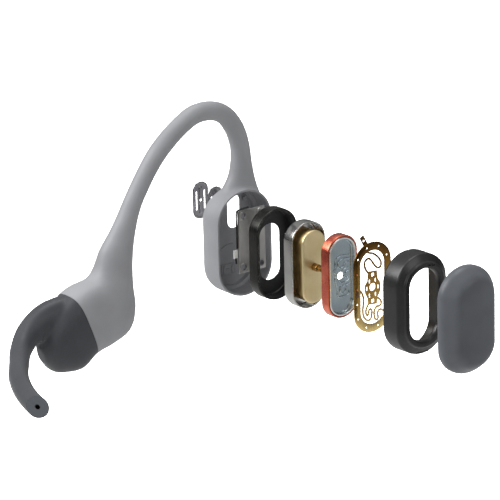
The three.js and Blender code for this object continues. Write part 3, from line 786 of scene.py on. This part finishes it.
for side, (grey, dark) in halves.items():
    name = SIDE_NAME[side]
    seats = [
        oval_piece("switch_cover", side, 1.0, [(0.0, 7.4, 10.2, 0), (0.14, 7.2, 10.0, 0)], GREY_SILICONE,
                   at=KEY_AT),
        box_piece("connector_seat", side, (1.1, -2.6, -8.9), (1.4, 1.4, -6.25), GREY_SILICONE),
        box_piece("seat_rib_low", side, (1.35, -2.2, -8.5), (1.68, -1.6, -6.5), GREY_SILICONE),
        box_piece("seat_rib_high", side, (1.35, 0.3, -8.5), (1.68, 0.9, -6.5), GREY_SILICONE),
        box_piece("seat_bar", side, (1.35, -2.2, -7.7), (1.55, 0.9, -7.3), GREY_SILICONE),
    ]
    if side == RIGHT:
        seats.append(box_piece("floor_rib", side, (0.9, -6.2, -1.4), (1.15, 6.2, -1.0), GREY_SILICONE))
    seats += [peg("locating_pin", side, [(0.9, 0.5), (1.6, 0.5), (1.7, 0.4)], (4.6, z), GREY_SILICONE)
              for z in (8.6, -2.0)]
    grey.name = name + "_ear_hook_skin"
    join(grey, seats)
    settle(grey, name + "_ear_hook")
    housing = "left_battery_housing" if side == LEFT else "right_control_housing"
    dark.name = name + "_housing_and_band_skin"
    join(dark, [band_core(side)])
    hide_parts(housing, "neckband_cover_" + name)
    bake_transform(dark)

# %% [markdown]
# Vent plates. Two small stamped plates close the slot in the head's back. Each has a rolled rim, a rib
# down the middle with a pin hole, and a slot on each side of the rib that lets air through. They are
# plated in black chrome, so they mirror everything around them, a little darker than it is.

# %% Vent plates


def vent_plate(side, node):
    start = outer_end(side, node)
    rim_stops = [(-0.04, 4.6, 9.0, 0.13), (-0.04, 3.5, 7.9, 0.13), (0.28, 3.5, 7.9, 0.15),
                 (0.28, 4.6, 9.0, 0.15)]
    rim = oval_piece(node + "_plate", side, start, rim_stops, BLACK_CHROME, ring=True, at=VENT_AT)
    web = oval_piece("web", side, start, [(0.05, 3.8, 8.2, 0), (0.2, 3.8, 8.2, 0)], BLACK_CHROME,
                     at=VENT_AT)
    slots = [oval_piece("slot", side, start, [(-1, 0.45, 4.6, 0), (1, 0.45, 4.6, 0)],
                        at=(VENT_AT[0] + s * 1.18, VENT_AT[1])) for s in (1, -1)]
    slots.append(peg("pin_hole", side, [(start - 1, 0.36), (start + 1, 0.36)], VENT_AT, None))
    combine(web, slots)
    rib_stops = [(0.04, 1.5, 7.1, 0), (0.12, 1.45, 7.05, 0.06), (0.27, 0.8, 6.3, 0.1), (0.29, 0.5, 5.9, 0)]
    rib = oval_piece("rib", side, start, rib_stops, BLACK_CHROME, at=VENT_AT)
    combine(rib, [peg("rib_hole", side, [(start - 1, 0.36), (start + 1, 0.36)], VENT_AT, None)])
    join(rim, [web, rib])
    return settle(rim, node)


for side in (LEFT, RIGHT):
    vent_plate(side, SIDE_NAME[side] + "_vent_plate_outer")
    vent_plate(side, SIDE_NAME[side] + "_vent_plate_inner")

# %% [markdown]
# The bracket is a stamped steel plate that holds the shaker in the head. Its edges are softly broken, and
# it has a pressed ring round each screw hole. A thin black lead is taped round its upper corner and ends
# in a white plug.

# %% Bracket, lead and plug
BRACKET_WIDTH, BRACKET_HEIGHT, BRACKET_Z = 7.9, 15.0, 1.4
HOLE_INSET = 1.4


def bracket(side):
    name = SIDE_NAME[side]
    start = outer_end(side, name + "_bracket")
    low = (start, -BRACKET_WIDTH / 2, BRACKET_Z - BRACKET_HEIGHT / 2)
    high = (start + 0.35, BRACKET_WIDTH / 2, BRACKET_Z + BRACKET_HEIGHT / 2)
    plate = box_piece(name + "_bracket_plate", side, low, high, SATIN_STEEL, edge=0.1)
    spots = [(a * (BRACKET_WIDTH / 2 - HOLE_INSET), BRACKET_Z + b * (BRACKET_HEIGHT / 2 - HOLE_INSET))
             for a in (1, -1) for b in (1, -1)]
    extras = []
    for spot in spots:
        ring_stops = [(start + 0.3, 1.15), (start + 0.5, 1.05), (start + 0.52, 0.9)]
        extras.append(peg("pressed_ring", side, ring_stops, spot, SATIN_STEEL))
    combine(plate, extras, "UNION")
    holes = [peg("screw_hole", side, [(start - 1, 0.7), (start + 1, 0.7)], spot, None) for spot in spots]
    combine(plate, holes)
    return settle(plate, name + "_bracket")


def bracket_lead(side):
    name = SIDE_NAME[side]
    start = outer_end(side, name + "_bracket_lead") + 0.2
    top, edge = BRACKET_Z + BRACKET_HEIGHT / 2 + 0.3, -BRACKET_WIDTH / 2 - 0.35
    line = [(-0.8, top + 0.1), (edge + 0.9, top), (edge + 0.1, top - 0.3), (edge - 0.05, top - 1.2),
            (edge, top - 5), (edge + 0.05, top - 9.1)]
    lead = strip(name + "_thin_lead", side, start, line, 0.4, 0.4, CABLE_PVC, sides=12)
    return settle(lead, name + "_bracket_lead")


def lead_plug(side):
    name = SIDE_NAME[side]
    low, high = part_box(name + "_lead_plug")
    start, end = outer_end(side, name + "_lead_plug"), wearer_end(side, name + "_lead_plug")
    y0, y1, z0, z1 = low.y / MM, high.y / MM, low.z / MM, high.z / MM
    plug = box_piece(name + "_white_plug", side, (start, y0, z0), (end - 0.1, y1, z1), WHITE_NYLON, 0.08)
    ribs = [box_piece("plug_rib", side, (end - 0.2, y0 + 0.15, z), (end, y1 - 0.05, z + 0.18),
                      WHITE_NYLON, 0.04) for z in np.linspace(z0 + 0.25, z1 - 0.45, 4)]
    tail = strip("plug_tail", side, start + 0.2,
                 [((y0 + y1) / 2, z0 + 0.1), ((y0 + y1) / 2 + 0.15, z0 - 1.3)],
                 0.5, 0.3, CABLE_PVC, sides=12)
    join(plug, [*ribs, tail])
    return settle(plug, name + "_lead_plug")


for side in (LEFT, RIGHT):
    bracket(side)
    bracket_lead(side)
    lead_plug(side)

# %% [markdown]
# The damping ring carries the magnet system and takes the sharpness out of the shaker's buzz. It is a
# deep oval tray in two finishes: gunmetal plating outside, and black rubber moulded into its mouth, which
# slopes down to a long window in the floor. The rubber is a second finish on the same piece.

# %% Damping ring
BLACK_RUBBER = moulded_silicone("black_moulded_rubber", "#0e0e0f", "#09090a", 0.4, grain_mm=0.3)


def damping_ring(side):
    node = SIDE_NAME[side] + "_damping_ring"
    start = outer_end(side, node)
    shell = [(0.3, 9.0, 18.6, 0), (0, 9.2, 18.8, 0.1), (0, 11.9, 21.6, 0.5), (3.2, 11.9, 21.6, 0.22),
             (3.2, 11.0, 20.8, 0.15), (0.6, 10.8, 20.6, 0.2)]
    metal = oval_piece(node + "_shell", side, start, shell, GUNMETAL, ring=True)
    mouth = [(0.05, 9.1, 18.7, 0), (0.05, 6.0, 13.4, 0.15), (0.48, 6.0, 13.4, 0.12),
             (0.5, 10.0, 20.54, 0.1),
             (3.05, 10.35, 20.74, 0.1), (3.05, 10.95, 20.85, 0.1), (0.5, 10.75, 20.5, 0)]
    rubber = oval_piece("rubber_mouth", side, start, mouth, BLACK_RUBBER, ring=True)
    join(metal, [rubber])
    return settle(metal, node)


for side in (LEFT, RIGHT):
    damping_ring(side)

# %% [markdown]
# The magnet system. A soft-iron cup, plated bright, holds a strong magnet with a thin iron plate on top.
# The flux jumps across the slot between the plate and the cup, where the coil moves. A stepped pin stands
# in the middle and holds the spring plate's leaf. All of them are ovals, apart from the pin, which is
# turned.

# %% Magnet system


def magnet_system(side):
    name = SIDE_NAME[side]
    start = outer_end(side, name + "_yoke_cup")
    cup_stops = [(0, 6, 15, 0), (0, 9.9, 20.45, 1.0), (3.3, 9.9, 20.45, 0.16), (3.3, 9.1, 19.65, 0.16),
                 (0.4, 9.1, 19.65, 0.3), (0.4, 6, 15, 0)]
    cup = oval_piece(name + "_yoke_cup_drawn", side, start, cup_stops, BRIGHT_NICKEL, steps=7)
    settle(cup, name + "_yoke_cup")

    low = outer_end(side, name + "_magnet")
    top = wearer_end(side, name + "_magnet")
    body = [(0, 5.6, 16.1, 0), (0, 6.3, 16.8, 0.3), (top - low - 0.12, 6.3, 16.8, 0.25),
            (top - low, 5.9, 16.4, 0)]
    magnet = oval_piece(name + "_magnet_block", side, low, body, MAGNET_SIDE)
    settle(magnet, name + "_magnet")

    low = outer_end(side, name + "_magnet_top_plate")
    plate_stops = [(0, 5.9, 16.3, 0), (0.02, 6.6, 17.1, 0.12), (0.55, 6.6, 17.1, 0.5),
                   (0.58, 5.4, 15.9, 0.3),
                   (0.56, 3, 12, 0)]
    plate = oval_piece(name + "_top_plate_pressed", side, low, plate_stops, CHAMPAGNE, steps=7)
    settle(plate, name + "_magnet_top_plate")

    low = outer_end(side, name + "_centre_pin")
    pin_stops = [(0, 0.84), (0.08, 0.88), (0.82, 0.88), (0.88, 0.78), (1.02, 0.78), (1.08, 0.9),
                 (1.42, 0.9), (1.5, 0.86),
                 (1.68, 0.52), (2.25, 0.5), (2.42, 0.66), (2.9, 0.66), (2.95, 0.58), (3.1, 0.58),
                 (3.16, 0.65),
                 (4.02, 0.63), (4.2, 0.42)]
    pin = peg(name + "_turned_pin", side, [(low + x, r) for x, r in pin_stops], (0, 0), DARK_BRONZE,
              sides=32)
    settle(pin, name + "_centre_pin")


for side in (LEFT, RIGHT):
    magnet_system(side)

# %% [markdown]
# The voice coil is wound on a bright aluminium former. A thin black ring in the recessed gap between the
# copper and the former's rim is painted shade of that gap. The plate that closes the former is stamped with
# a labyrinth of beads, which stiffen it and keep it from ringing. Here each bead is a half-round strip
# along a smooth line, and the pin's hole goes through all of them.

# %% Voice coil and its plate
# painted shade: a black finish for the ring in the gap between the winding and the former
GAP_PAINTED_SHADE = moulded_plastic("black_gap_painted_shade", "#101010", "#0a0a0a", 0.35, ior=1.5)
BEADS = [
    [(2.6, 4.5), (0.4, 4.6), (-1.0, 4.2), (-1.5, 3.0), (-1.4, 1.9), (-1.9, 1.3), (-1.3, 0.5), (-1.6, -0.6),
     (-1.2, -1.8), (-0.9, -3.2), (-0.8, -4.7), (0.6, -4.9), (2.2, -4.7), (2.5, -3.9)],
    [(2.7, 3.7), (0.7, 3.8), (-0.4, 3.4), (-0.7, 2.5), (-0.2, 1.8), (0.9, 2.1), (1.5, 2.9), (2.6, 2.8)],
    [(2.5, 1.6), (1.3, 1.4), (0.3, 0.9), (-0.4, 0.1), (-0.5, -0.9), (0.1, -1.6), (1.1, -1.7), (2.4, -1.3)],
    [(-0.1, -2.5), (0.0, -3.9), (1.3, -4.0), (1.5, -2.9), (0.8, -2.5), (2.5, -2.2)],
    [(2.2, 0.8), (1.5, 0.5), (1.2, -0.1), (1.5, -0.7), (2.2, -0.6)],
]


def voice_coil(side):
    name = SIDE_NAME[side]
    start = outer_end(side, name + "_voice_coil")
    winding = [(0, 8.8, 19.4, 0.18), (2.3, 8.8, 19.4, 0.35), (2.3, 8.0, 18.6, 0.2), (0, 7.9, 18.5, 0.1)]
    coil = oval_piece(name + "_copper_coil", side, start, winding, COPPER, ring=True)
    # painted shade: a black ring fills the recessed gap between the copper and the former's rim
    glue = [(0.1, 7.95, 18.55, 0), (2.1, 7.95, 18.55, 0), (2.1, 7.7, 18.3, 0), (0.1, 7.7, 18.3, 0)]
    former = [(0.05, 7.75, 18.35, 0), (2.4, 7.75, 18.35, 0.2), (2.4, 6.95, 17.55, 0.2),
              (0.05, 6.9, 17.5, 0)]
    join(coil, [oval_piece("gap_painted_shade_ring", side, start, glue, GAP_PAINTED_SHADE, ring=True),
                oval_piece("former_rim", side, start, former, POLISHED_RIM, ring=True)])
    settle(coil, name + "_voice_coil")

    front = wearer_end(side, name + "_coil_plate")
    thick = front - outer_end(side, name + "_coil_plate")
    dish = [(-thick, 4, 14, 0), (-thick, 6.95, 17.55, 0.1), (0.25, 6.9, 17.5, 0.06),
            (0.25, 6.75, 17.35, 0.06),
            (0, 6.5, 17.1, 0.1), (0, 4, 14, 0)]
    plate = oval_piece(name + "_stamped_plate", side, front, dish, SILVER_SHEET)
    beads = [strip("bead", side, front, line, 0.42, 0.44, SILVER_SHEET, sides=12) for line in BEADS]
    for sheet in (plate, *beads):
        combine(sheet, [peg("pin_hole", side, [(front - 2, 0.93), (front + 2, 0.93)], (0, 0), None)])
    join(plate, beads)
    settle(plate, name + "_coil_plate")


for side in (LEFT, RIGHT):
    voice_coil(side)

# %% [markdown]
# The spring plate lets the coil move in and out while it holds it in line. It is etched from one thin
# sheet: a rim with a row of small glue holes, a butterfly leaf in the middle that grips the pin, and
# curled arms between them. The arms are strips along smooth lines, and a union makes one sheet of all the
# pieces.

# %% Spring plate
SPRING_WIDTH, SPRING_HEIGHT, SPRING_THICK, RIM = 10.9, 20.9, 0.2, 1.95
ARM_WIDTH = 0.46
ARMS = [
    [(-1.7, 8.9), (-0.9, 8.1), (0.1, 7.8), (1.3, 7.0), (2.2, 6.0), (2.6, 5.0), (2.4, 4.3), (1.7, 4.1),
     (0.9, 4.7),
     (0.2, 5.6), (-0.5, 6.5), (-1.1, 6.8), (-1.9, 6.5), (-2.2, 5.7), (-2.0, 4.7), (-1.2, 3.5)],
    [(-3.9, 0.1), (-3.3, -0.5), (-2.8, -1.5), (-2.6, -2.6), (-2.75, -3.8), (-2.9, -5.1), (-2.6, -6.4),
     (-1.7, -7.4),
     (-0.8, -7.4), (-0.35, -6.5), (-0.3, -5.5), (-0.65, -5.0), (-1.1, -5.2), (-1.2, -5.9), (-1.6, -6.3),
     (-2.0, -5.6), (-1.85, -4.7), (-1.2, -3.5)],
    [(1.0, -2.6), (2.0, -3.2), (2.5, -4.2), (2.0, -4.8), (1.15, -4.8), (0.55, -5.4), (0.4, -6.3),
     (0.55, -7.3),
     (1.05, -7.9), (1.5, -7.6), (1.4, -6.6), (1.6, -5.9), (2.3, -5.7), (3.0, -6.1), (3.9, -7.0)],
]
LEAF = [(1.35, 3.6), (1.4, 2.4), (1.6, 1.6), (2.25, 0.7), (2.25, -1.3), (1.5, -2.5), (1.3, -3.3),
        (1.2, -4.15),
        (-1.3, -3.9), (-1.45, -2.4), (-2.2, -0.9), (-2.2, 0.8), (-1.45, 1.7), (-1.3, 2.6), (-1.3, 3.8)]
LEAF_HOLES = [  # y, z, width, height
    (0.1, 2.85, 0.95, 0.6), (0.0, -3.2, 0.95, 0.6), (-0.85, 1.45, 0.42, 0.95), (0.85, 1.5, 0.42, 0.95),
    (-1.65, -0.1, 0.42, 0.95), (1.65, -0.25, 0.42, 0.95), (-0.9, -1.85, 0.42, 0.95),
    (0.85, -1.8, 0.42, 0.95),
]
RIM_HOLES = 14


def rim_hole_places():
    """Evenly spaced points along the middle of the rim."""
    line = oval(SPRING_WIDTH - RIM, SPRING_HEIGHT - RIM, steps=60, straight=60)
    points = np.array(line + line[:1])
    lengths = np.concatenate([[0], np.cumsum(np.linalg.norm(np.diff(points, axis=0), axis=1))])
    marks = (np.arange(RIM_HOLES) + 0.35) * lengths[-1] / RIM_HOLES
    return [(np.interp(m, lengths, points[:, 0]), np.interp(m, lengths, points[:, 1])) for m in marks]


def solder_tab(side, start):
    """A short tab on the rim's upper left, with a hole for the lead's end."""
    tilt = math.radians(29)

    def turned(corners):
        return [(-1.55 + y * math.cos(tilt) - z * math.sin(tilt),
                 9.7 + y * math.sin(tilt) + z * math.cos(tilt))
                for y, z in corners]

    outline = turned([(-0.6, -0.8), (0.6, -0.8), (0.6, 2.75), (0.45, 2.9), (-0.45, 2.9), (-0.6, 2.75)])
    tab = prism("tab", side, outline, start + 0.01, start + SPRING_THICK - 0.01)
    hole = turned([(-0.26, 1.4), (0.26, 1.4), (0.26, 1.95), (-0.26, 1.95)])
    return combine(tab, [prism("tab_hole", side, hole, start - 1, start + 1)])


def spring_plate(side):
    name = SIDE_NAME[side]
    start = wearer_end(side, name + "_spring_plate") - SPRING_THICK
    far = start + SPRING_THICK
    rim_stops = [(0, SPRING_WIDTH, SPRING_HEIGHT, 0.05), (SPRING_THICK, SPRING_WIDTH, SPRING_HEIGHT, 0.05),
                 (SPRING_THICK, SPRING_WIDTH - 2 * RIM, SPRING_HEIGHT - 2 * RIM, 0.05),
                 (0, SPRING_WIDTH - 2 * RIM, SPRING_HEIGHT - 2 * RIM, 0.05)]
    plate = oval_piece(name + "_etched_spring", side, start, rim_stops, SPRING_ALLOY_PAINTED_REFLECTION, ring=True, steps=2)
    leaf = prism("leaf", side, LEAF, start + 0.005, far - 0.005)
    middle = start + SPRING_THICK / 2
    arms = [strip("arm", side, middle, line, ARM_WIDTH, SPRING_THICK - 0.02) for line in ARMS]
    parts = [leaf, *arms]
    if side == LEFT:
        parts.append(solder_tab(side, start))
    combine(plate, parts, "UNION")
    holes = [oval_piece("leaf_hole", side, start, [(-1, w, h, 0), (1, w, h, 0)], at=(y, z)) for y, z, w,
             h in LEAF_HOLES]
    holes.append(peg("pin_hole", side, [(start - 1, 0.88), (far + 1, 0.88)], (0, 0), None))
    holes += [peg("glue_hole", side, [(start - 1, 0.24), (far + 1, 0.24)], spot, None, sides=12)
              for spot in rim_hole_places()]
    combine(plate, holes)
    patch = box_piece("damping_patch", side, (far - 0.05, -4.9, -1.6), (far + 0.1, -4.1, -0.2), DARK_RESIN,
                      0.05)
    extras = [patch]
    if side == RIGHT:
        extras.append(box_piece("folded_tab", side, (start - 2.0, -2.15, 10.0), (far, -0.95, 10.2),
                                SPRING_ALLOY_PAINTED_REFLECTION, 0.04))
    join(plate, extras)
    return settle(plate, name + "_spring_plate")


for side in (LEFT, RIGHT):
    spring_plate(side)

# %% [markdown]
# The transducer's frame is moulded in black glass-filled nylon. It clamps the spring's rim, and its
# chamfered lip carries the pad. Small bosses and a low step on the lip locate the pad, and a bed inside
# takes the spring's rim.

# %% Transducer frame


def transducer_frame(side):
    name = SIDE_NAME[side]
    node = name + "_transducer_frame"
    start = outer_end(side, node)
    stops = [(0, 14.1, 22.6, 0.25), (0.4, 14.5, 23.0, 0.2), (4.8, 14.5, 23.0, 0.4), (5.6, 11.7, 19.8, 0.2),
             (6.1, 11.2, 19.2, 0.25), (6.1, 9.0, 17.0, 0.3), (5.3, 8.6, 16.4, 0.2), (4.6, 8.6, 16.4, 0.1),
             (4.6, 11.3, 21.3, 0.1), (0.58, 11.3, 21.3, 0.1), (0.58, 12.3, 22.0, 0.1), (0, 12.3, 22.0, 0.1)]
    body = oval_piece(node + "_moulded", side, start, stops, BLACK_NYLON, ring=True)
    bosses = []
    for spot, radius in (((1.2, 8.95), 0.45), ((2.4, 8.75), 0.4), ((-4.9, 4.2), 0.25),
                         ((-4.9, -4.6), 0.25)):
        top = start + 6.0
        stops = [(top - 0.3, radius), (top + 0.2, 0.9 * radius), (top + 0.26, 0.7 * radius),
                 (top + 0.26, 0.5 * radius), (top + 0.1, 0.4 * radius)]
        bosses.append(peg("boss", side, stops, spot, BLACK_NYLON))
    foot = box_piece("lower_step", side, (start + 4.6, -1.7, -11.2), (start + 5.14, 1.7, -10.3),
                     BLACK_NYLON, 0.12)
    join(body, [*bosses, foot])
    return settle(body, node)


for side in (LEFT, RIGHT):
    transducer_frame(side)

# %% [markdown]
# The contact pad is the only piece that touches the skin. It is a hard carrier with a soft silicone face:
# a short straight wall, a shoulder that rolls over, and a broad, almost flat crown that spreads the
# pressure. The crown's edge is soft, but it can be seen as a change in light.

# %% Contact pads


def contact_pad(side):
    name = SIDE_NAME[side]
    node = name + "_contact_pad"
    start = outer_end(side, node)
    stops = [(0.05, 13.9, 22.5, 0.1), (0, 14.6, 24.0, 0.15), (0.35, 15.0, 24.4, 0.3),
             (1.7, 15.0, 24.4, 1.2),
             (4.75, 10.4, 19.9, 1.5), (5.0, 6.5, 15.9, 1.5), (5.0, 2.0, 11.0, 0)]
    pad = oval_piece(node + "_silicone", side, start,
                     [(1.9, 7, 16, 0), (1.9, 11.8, 20, 0.3), (0.4, 12.2, 20.4, 0.3),
                                                       *stops], PAD_SILICONE, steps=9)
    return settle(pad, node)


for side in (LEFT, RIGHT):
    contact_pad(side)

# %% [markdown]
# Keys and port. The left head's button is a dished oval over a snap dome. The two volume keys under the
# right shoulder are small pills with a raised bar, and the magnetic charging port is a black oval with
# gold contacts.

# %% Keys and charging port


def head_button():
    start = outer_end(LEFT, "multifunction_button")
    stops = [(0.22, 1.6, 4.4, 0), (0.18, 3.6, 6.4, 0.6), (0, 5.3, 8.1, 0.3), (0, 6.0, 8.8, 0.3),
             (1.0, 6.0, 8.8, 0.1),
             (1.0, 3.0, 5.8, 0)]
    button = oval_piece("multifunction_key_cap", LEFT, start, stops, KEY_ABS, at=KEY_AT, steps=6)
    return settle(button, "multifunction_button")


def volume_key(node, share):
    centre = SHOULDER_FRONT + share * (seam_bottom - SHOULDER_FRONT)
    profile = [(-1.8, 0), (0.22, 0), (0.34, 0.06), (0.4, 0.18)]
    key = lying_oval(node + "_cap", RIGHT, 2.6, 3.4, profile, centre, key_out, key_along, KEY_ABS)
    bar = lying_oval("raised_bar", RIGHT, 0.5, 1.6, [(0.3, 0), (0.5, 0.02), (0.55, 0.1)], centre, key_out,
                     key_along,
                     KEY_ABS)
    join(key, [bar])
    return settle(key, node)


def charging_port():
    rim = lying_oval("charging_port_plate", RIGHT, 4.3, 6.9, [(-0.4, 0), (0.3, 0), (0.4, 0.1), (0.4, 0.35),
                                                            (0.28, 0.42)], port_middle, port_out,
                                                            port_along, BLACK_NYLON)
    pads = []
    for step in (-1, 1):
        for off in (-0.75, 0.75):
            spot = port_middle + port_along * step * 1.3
            ring = [(0.2, 0), (0.36, 0), (0.42, 0.08)]
            pad = lying_oval("gold_contact", RIGHT, 0.9, 0.95, ring, spot, port_out, port_along,
                             GOLD_CONTACT)
            pad.data.transform(Matrix.Translation((off * MM, 0, 0)))
            pads.append(pad)
    join(rim, pads)
    return settle(rim, "charging_port")


head_button()
for node, share in zip(("volume_up_button", "volume_down_button"), KEY_SHARES):
    volume_key(node, share)
charging_port()

# %% [markdown]
# What is left is hidden inside the skins: the wires, the cell, the circuit board and the snap dome. Their
# solids from the frame are already right, so they only get their finish.

# %% Finishes for the hidden solids
HIDDEN = {
    "left_hook_wire": TITANIUM, "right_hook_wire": TITANIUM, "neckband_wire_left": TITANIUM,
    "neckband_wire_right": TITANIUM, "left_battery": FOIL, "main_circuit_board": GREEN_RESIST,
    "button_switch": SATIN_STEEL,
}
for node, material in HIDDEN.items():
    solid = frame["nodes"][node]
    solid.data.materials.clear()
    solid.data.materials.append(material)
print("hidden solids:", ", ".join(HIDDEN))

# %% [markdown]
# Camera. A long lens from behind and to the right shows the left side in three-quarter view, with the
# pieces in a row. The right half of the headset would then stand between the camera and that row. The
# camera starts to see only behind the right half, as if that half were taken off the bench. Every other
# view shows it.

# %% Camera
CAMERA_AT = Vector((0.63021, -0.54780, 0.27311))
CAMERA_RIGHT = Vector((0.63016, 0.77614, -0.02248))
CAMERA_UP = Vector((-0.21843, 0.20499, 0.95408))
camera_data = bpy.data.cameras.new("camera")
camera_data.lens = 288
camera_data.sensor_width = 36
camera_data.clip_start = 0.852
camera_data.clip_end = 50
camera = bpy.data.objects.new("camera", camera_data)
bpy.context.scene.collection.objects.link(camera)
axes = Matrix((CAMERA_RIGHT, CAMERA_UP, CAMERA_RIGHT.cross(CAMERA_UP))).transposed().to_4x4()
camera.matrix_world = Matrix.Translation(CAMERA_AT) @ axes
bpy.context.scene.camera = camera

# %% [markdown]
# Stage and light. The floor is plain and pale, well below the headset, which a head would carry. Large
# soft lights give the metals something broad to mirror: one from above, one from the left and a weaker
# one from the right. The surroundings are brighter above than at the horizon, so a polished edge shows a
# light and a dark side.

# %% Floor, surroundings and lights
FLOOR_Z = -0.5


def floor():
    data = bmesh.new()
    bmesh.ops.create_grid(data, x_segments=1, y_segments=1, size=6)
    for vertex in data.verts:
        vertex.co.z = FLOOR_Z
    material, shader, where = new_finish("pale_floor", Roughness=0.9)
    clouds = noise(material, where, 400.0)
    connect(material, shader, Base_Color=ramp(material, clouds,
                                              [(0.3, linear("#e0e0e0")), (0.7, linear("#e4e4e4"))]))
    piece = finished("floor", data, material)
    return piece


def surroundings():
    """Dark at the horizon and lighter overhead, so that a polished edge has something dark to show."""
    world = bpy.data.worlds.new("studio")
    bpy.context.scene.world = world
    world.use_nodes = True
    tree = world.node_tree
    background = tree.nodes["Background"]
    coordinates = tree.nodes.new("ShaderNodeTexCoord")
    split = tree.nodes.new("ShaderNodeSeparateXYZ")
    colours = tree.nodes.new("ShaderNodeValToRGB")
    tree.links.new(coordinates.outputs["Generated"], split.inputs["Vector"])
    tree.links.new(split.outputs["Z"], colours.inputs["Fac"])
    elements = colours.color_ramp.elements
    elements[0].position = 0.05
    elements[0].color = (0.08, 0.08, 0.085, 1)
    elements[1].position = 1.0
    elements[1].color = (0.7, 0.7, 0.7, 1)
    path = tree.nodes.new("ShaderNodeLightPath")  # the eye sees a pale wall, the metals see the dark one
    seen = tree.nodes.new("ShaderNodeMix")
    seen.data_type = "RGBA"
    tree.links.new(path.outputs["Is Camera Ray"], seen.inputs["Factor"])
    tree.links.new(colours.outputs["Color"], seen.inputs["A"])
    seen.inputs["B"].default_value = (0.8, 0.8, 0.81, 1)
    tree.links.new(seen.outputs["Result"], background.inputs["Color"])
    background.inputs["Strength"].default_value = 1.0


def soft_light(name, place, size, power):
    data = bpy.data.lights.new(name, "AREA")
    data.shape = "RECTANGLE"
    data.size, data.size_y = size
    data.energy = power
    light = bpy.data.objects.new(name, data)
    light.location = place
    light.rotation_mode = "QUATERNION"
    light.rotation_quaternion = (-Vector(place)).to_track_quat("-Z", "Y")
    bpy.context.scene.collection.objects.link(light)
    return light


def floor_light(name, place, angle, power):
    """A spot that points straight down and lights only the floor behind the headset."""
    data = bpy.data.lights.new(name, "SPOT")
    data.spot_size = math.radians(angle)
    data.spot_blend = 0.3
    data.shadow_soft_size = 0.05
    data.energy = power
    light = bpy.data.objects.new(name, data)
    light.location = place
    bpy.context.scene.collection.objects.link(light)
    return light


floor()
surroundings()
soft_light("left_window", (-0.52, -0.80, 0.72), (0.8, 0.8), 15)
soft_light("right_window", (0.98, 0.30, 0.40), (0.5, 0.8), 2.6)
soft_light("overhead", (-0.2, 0.2, 1.2), (0.6, 0.6), 5)
soft_light("front_fill", (0.70, -0.64, 0.30), (0.7, 0.5), 1.6)
floor_light("floor_behind", (-1.36, 1.04, 1.2), 50, 400)
bpy.context.scene.view_settings.view_transform = "Standard"
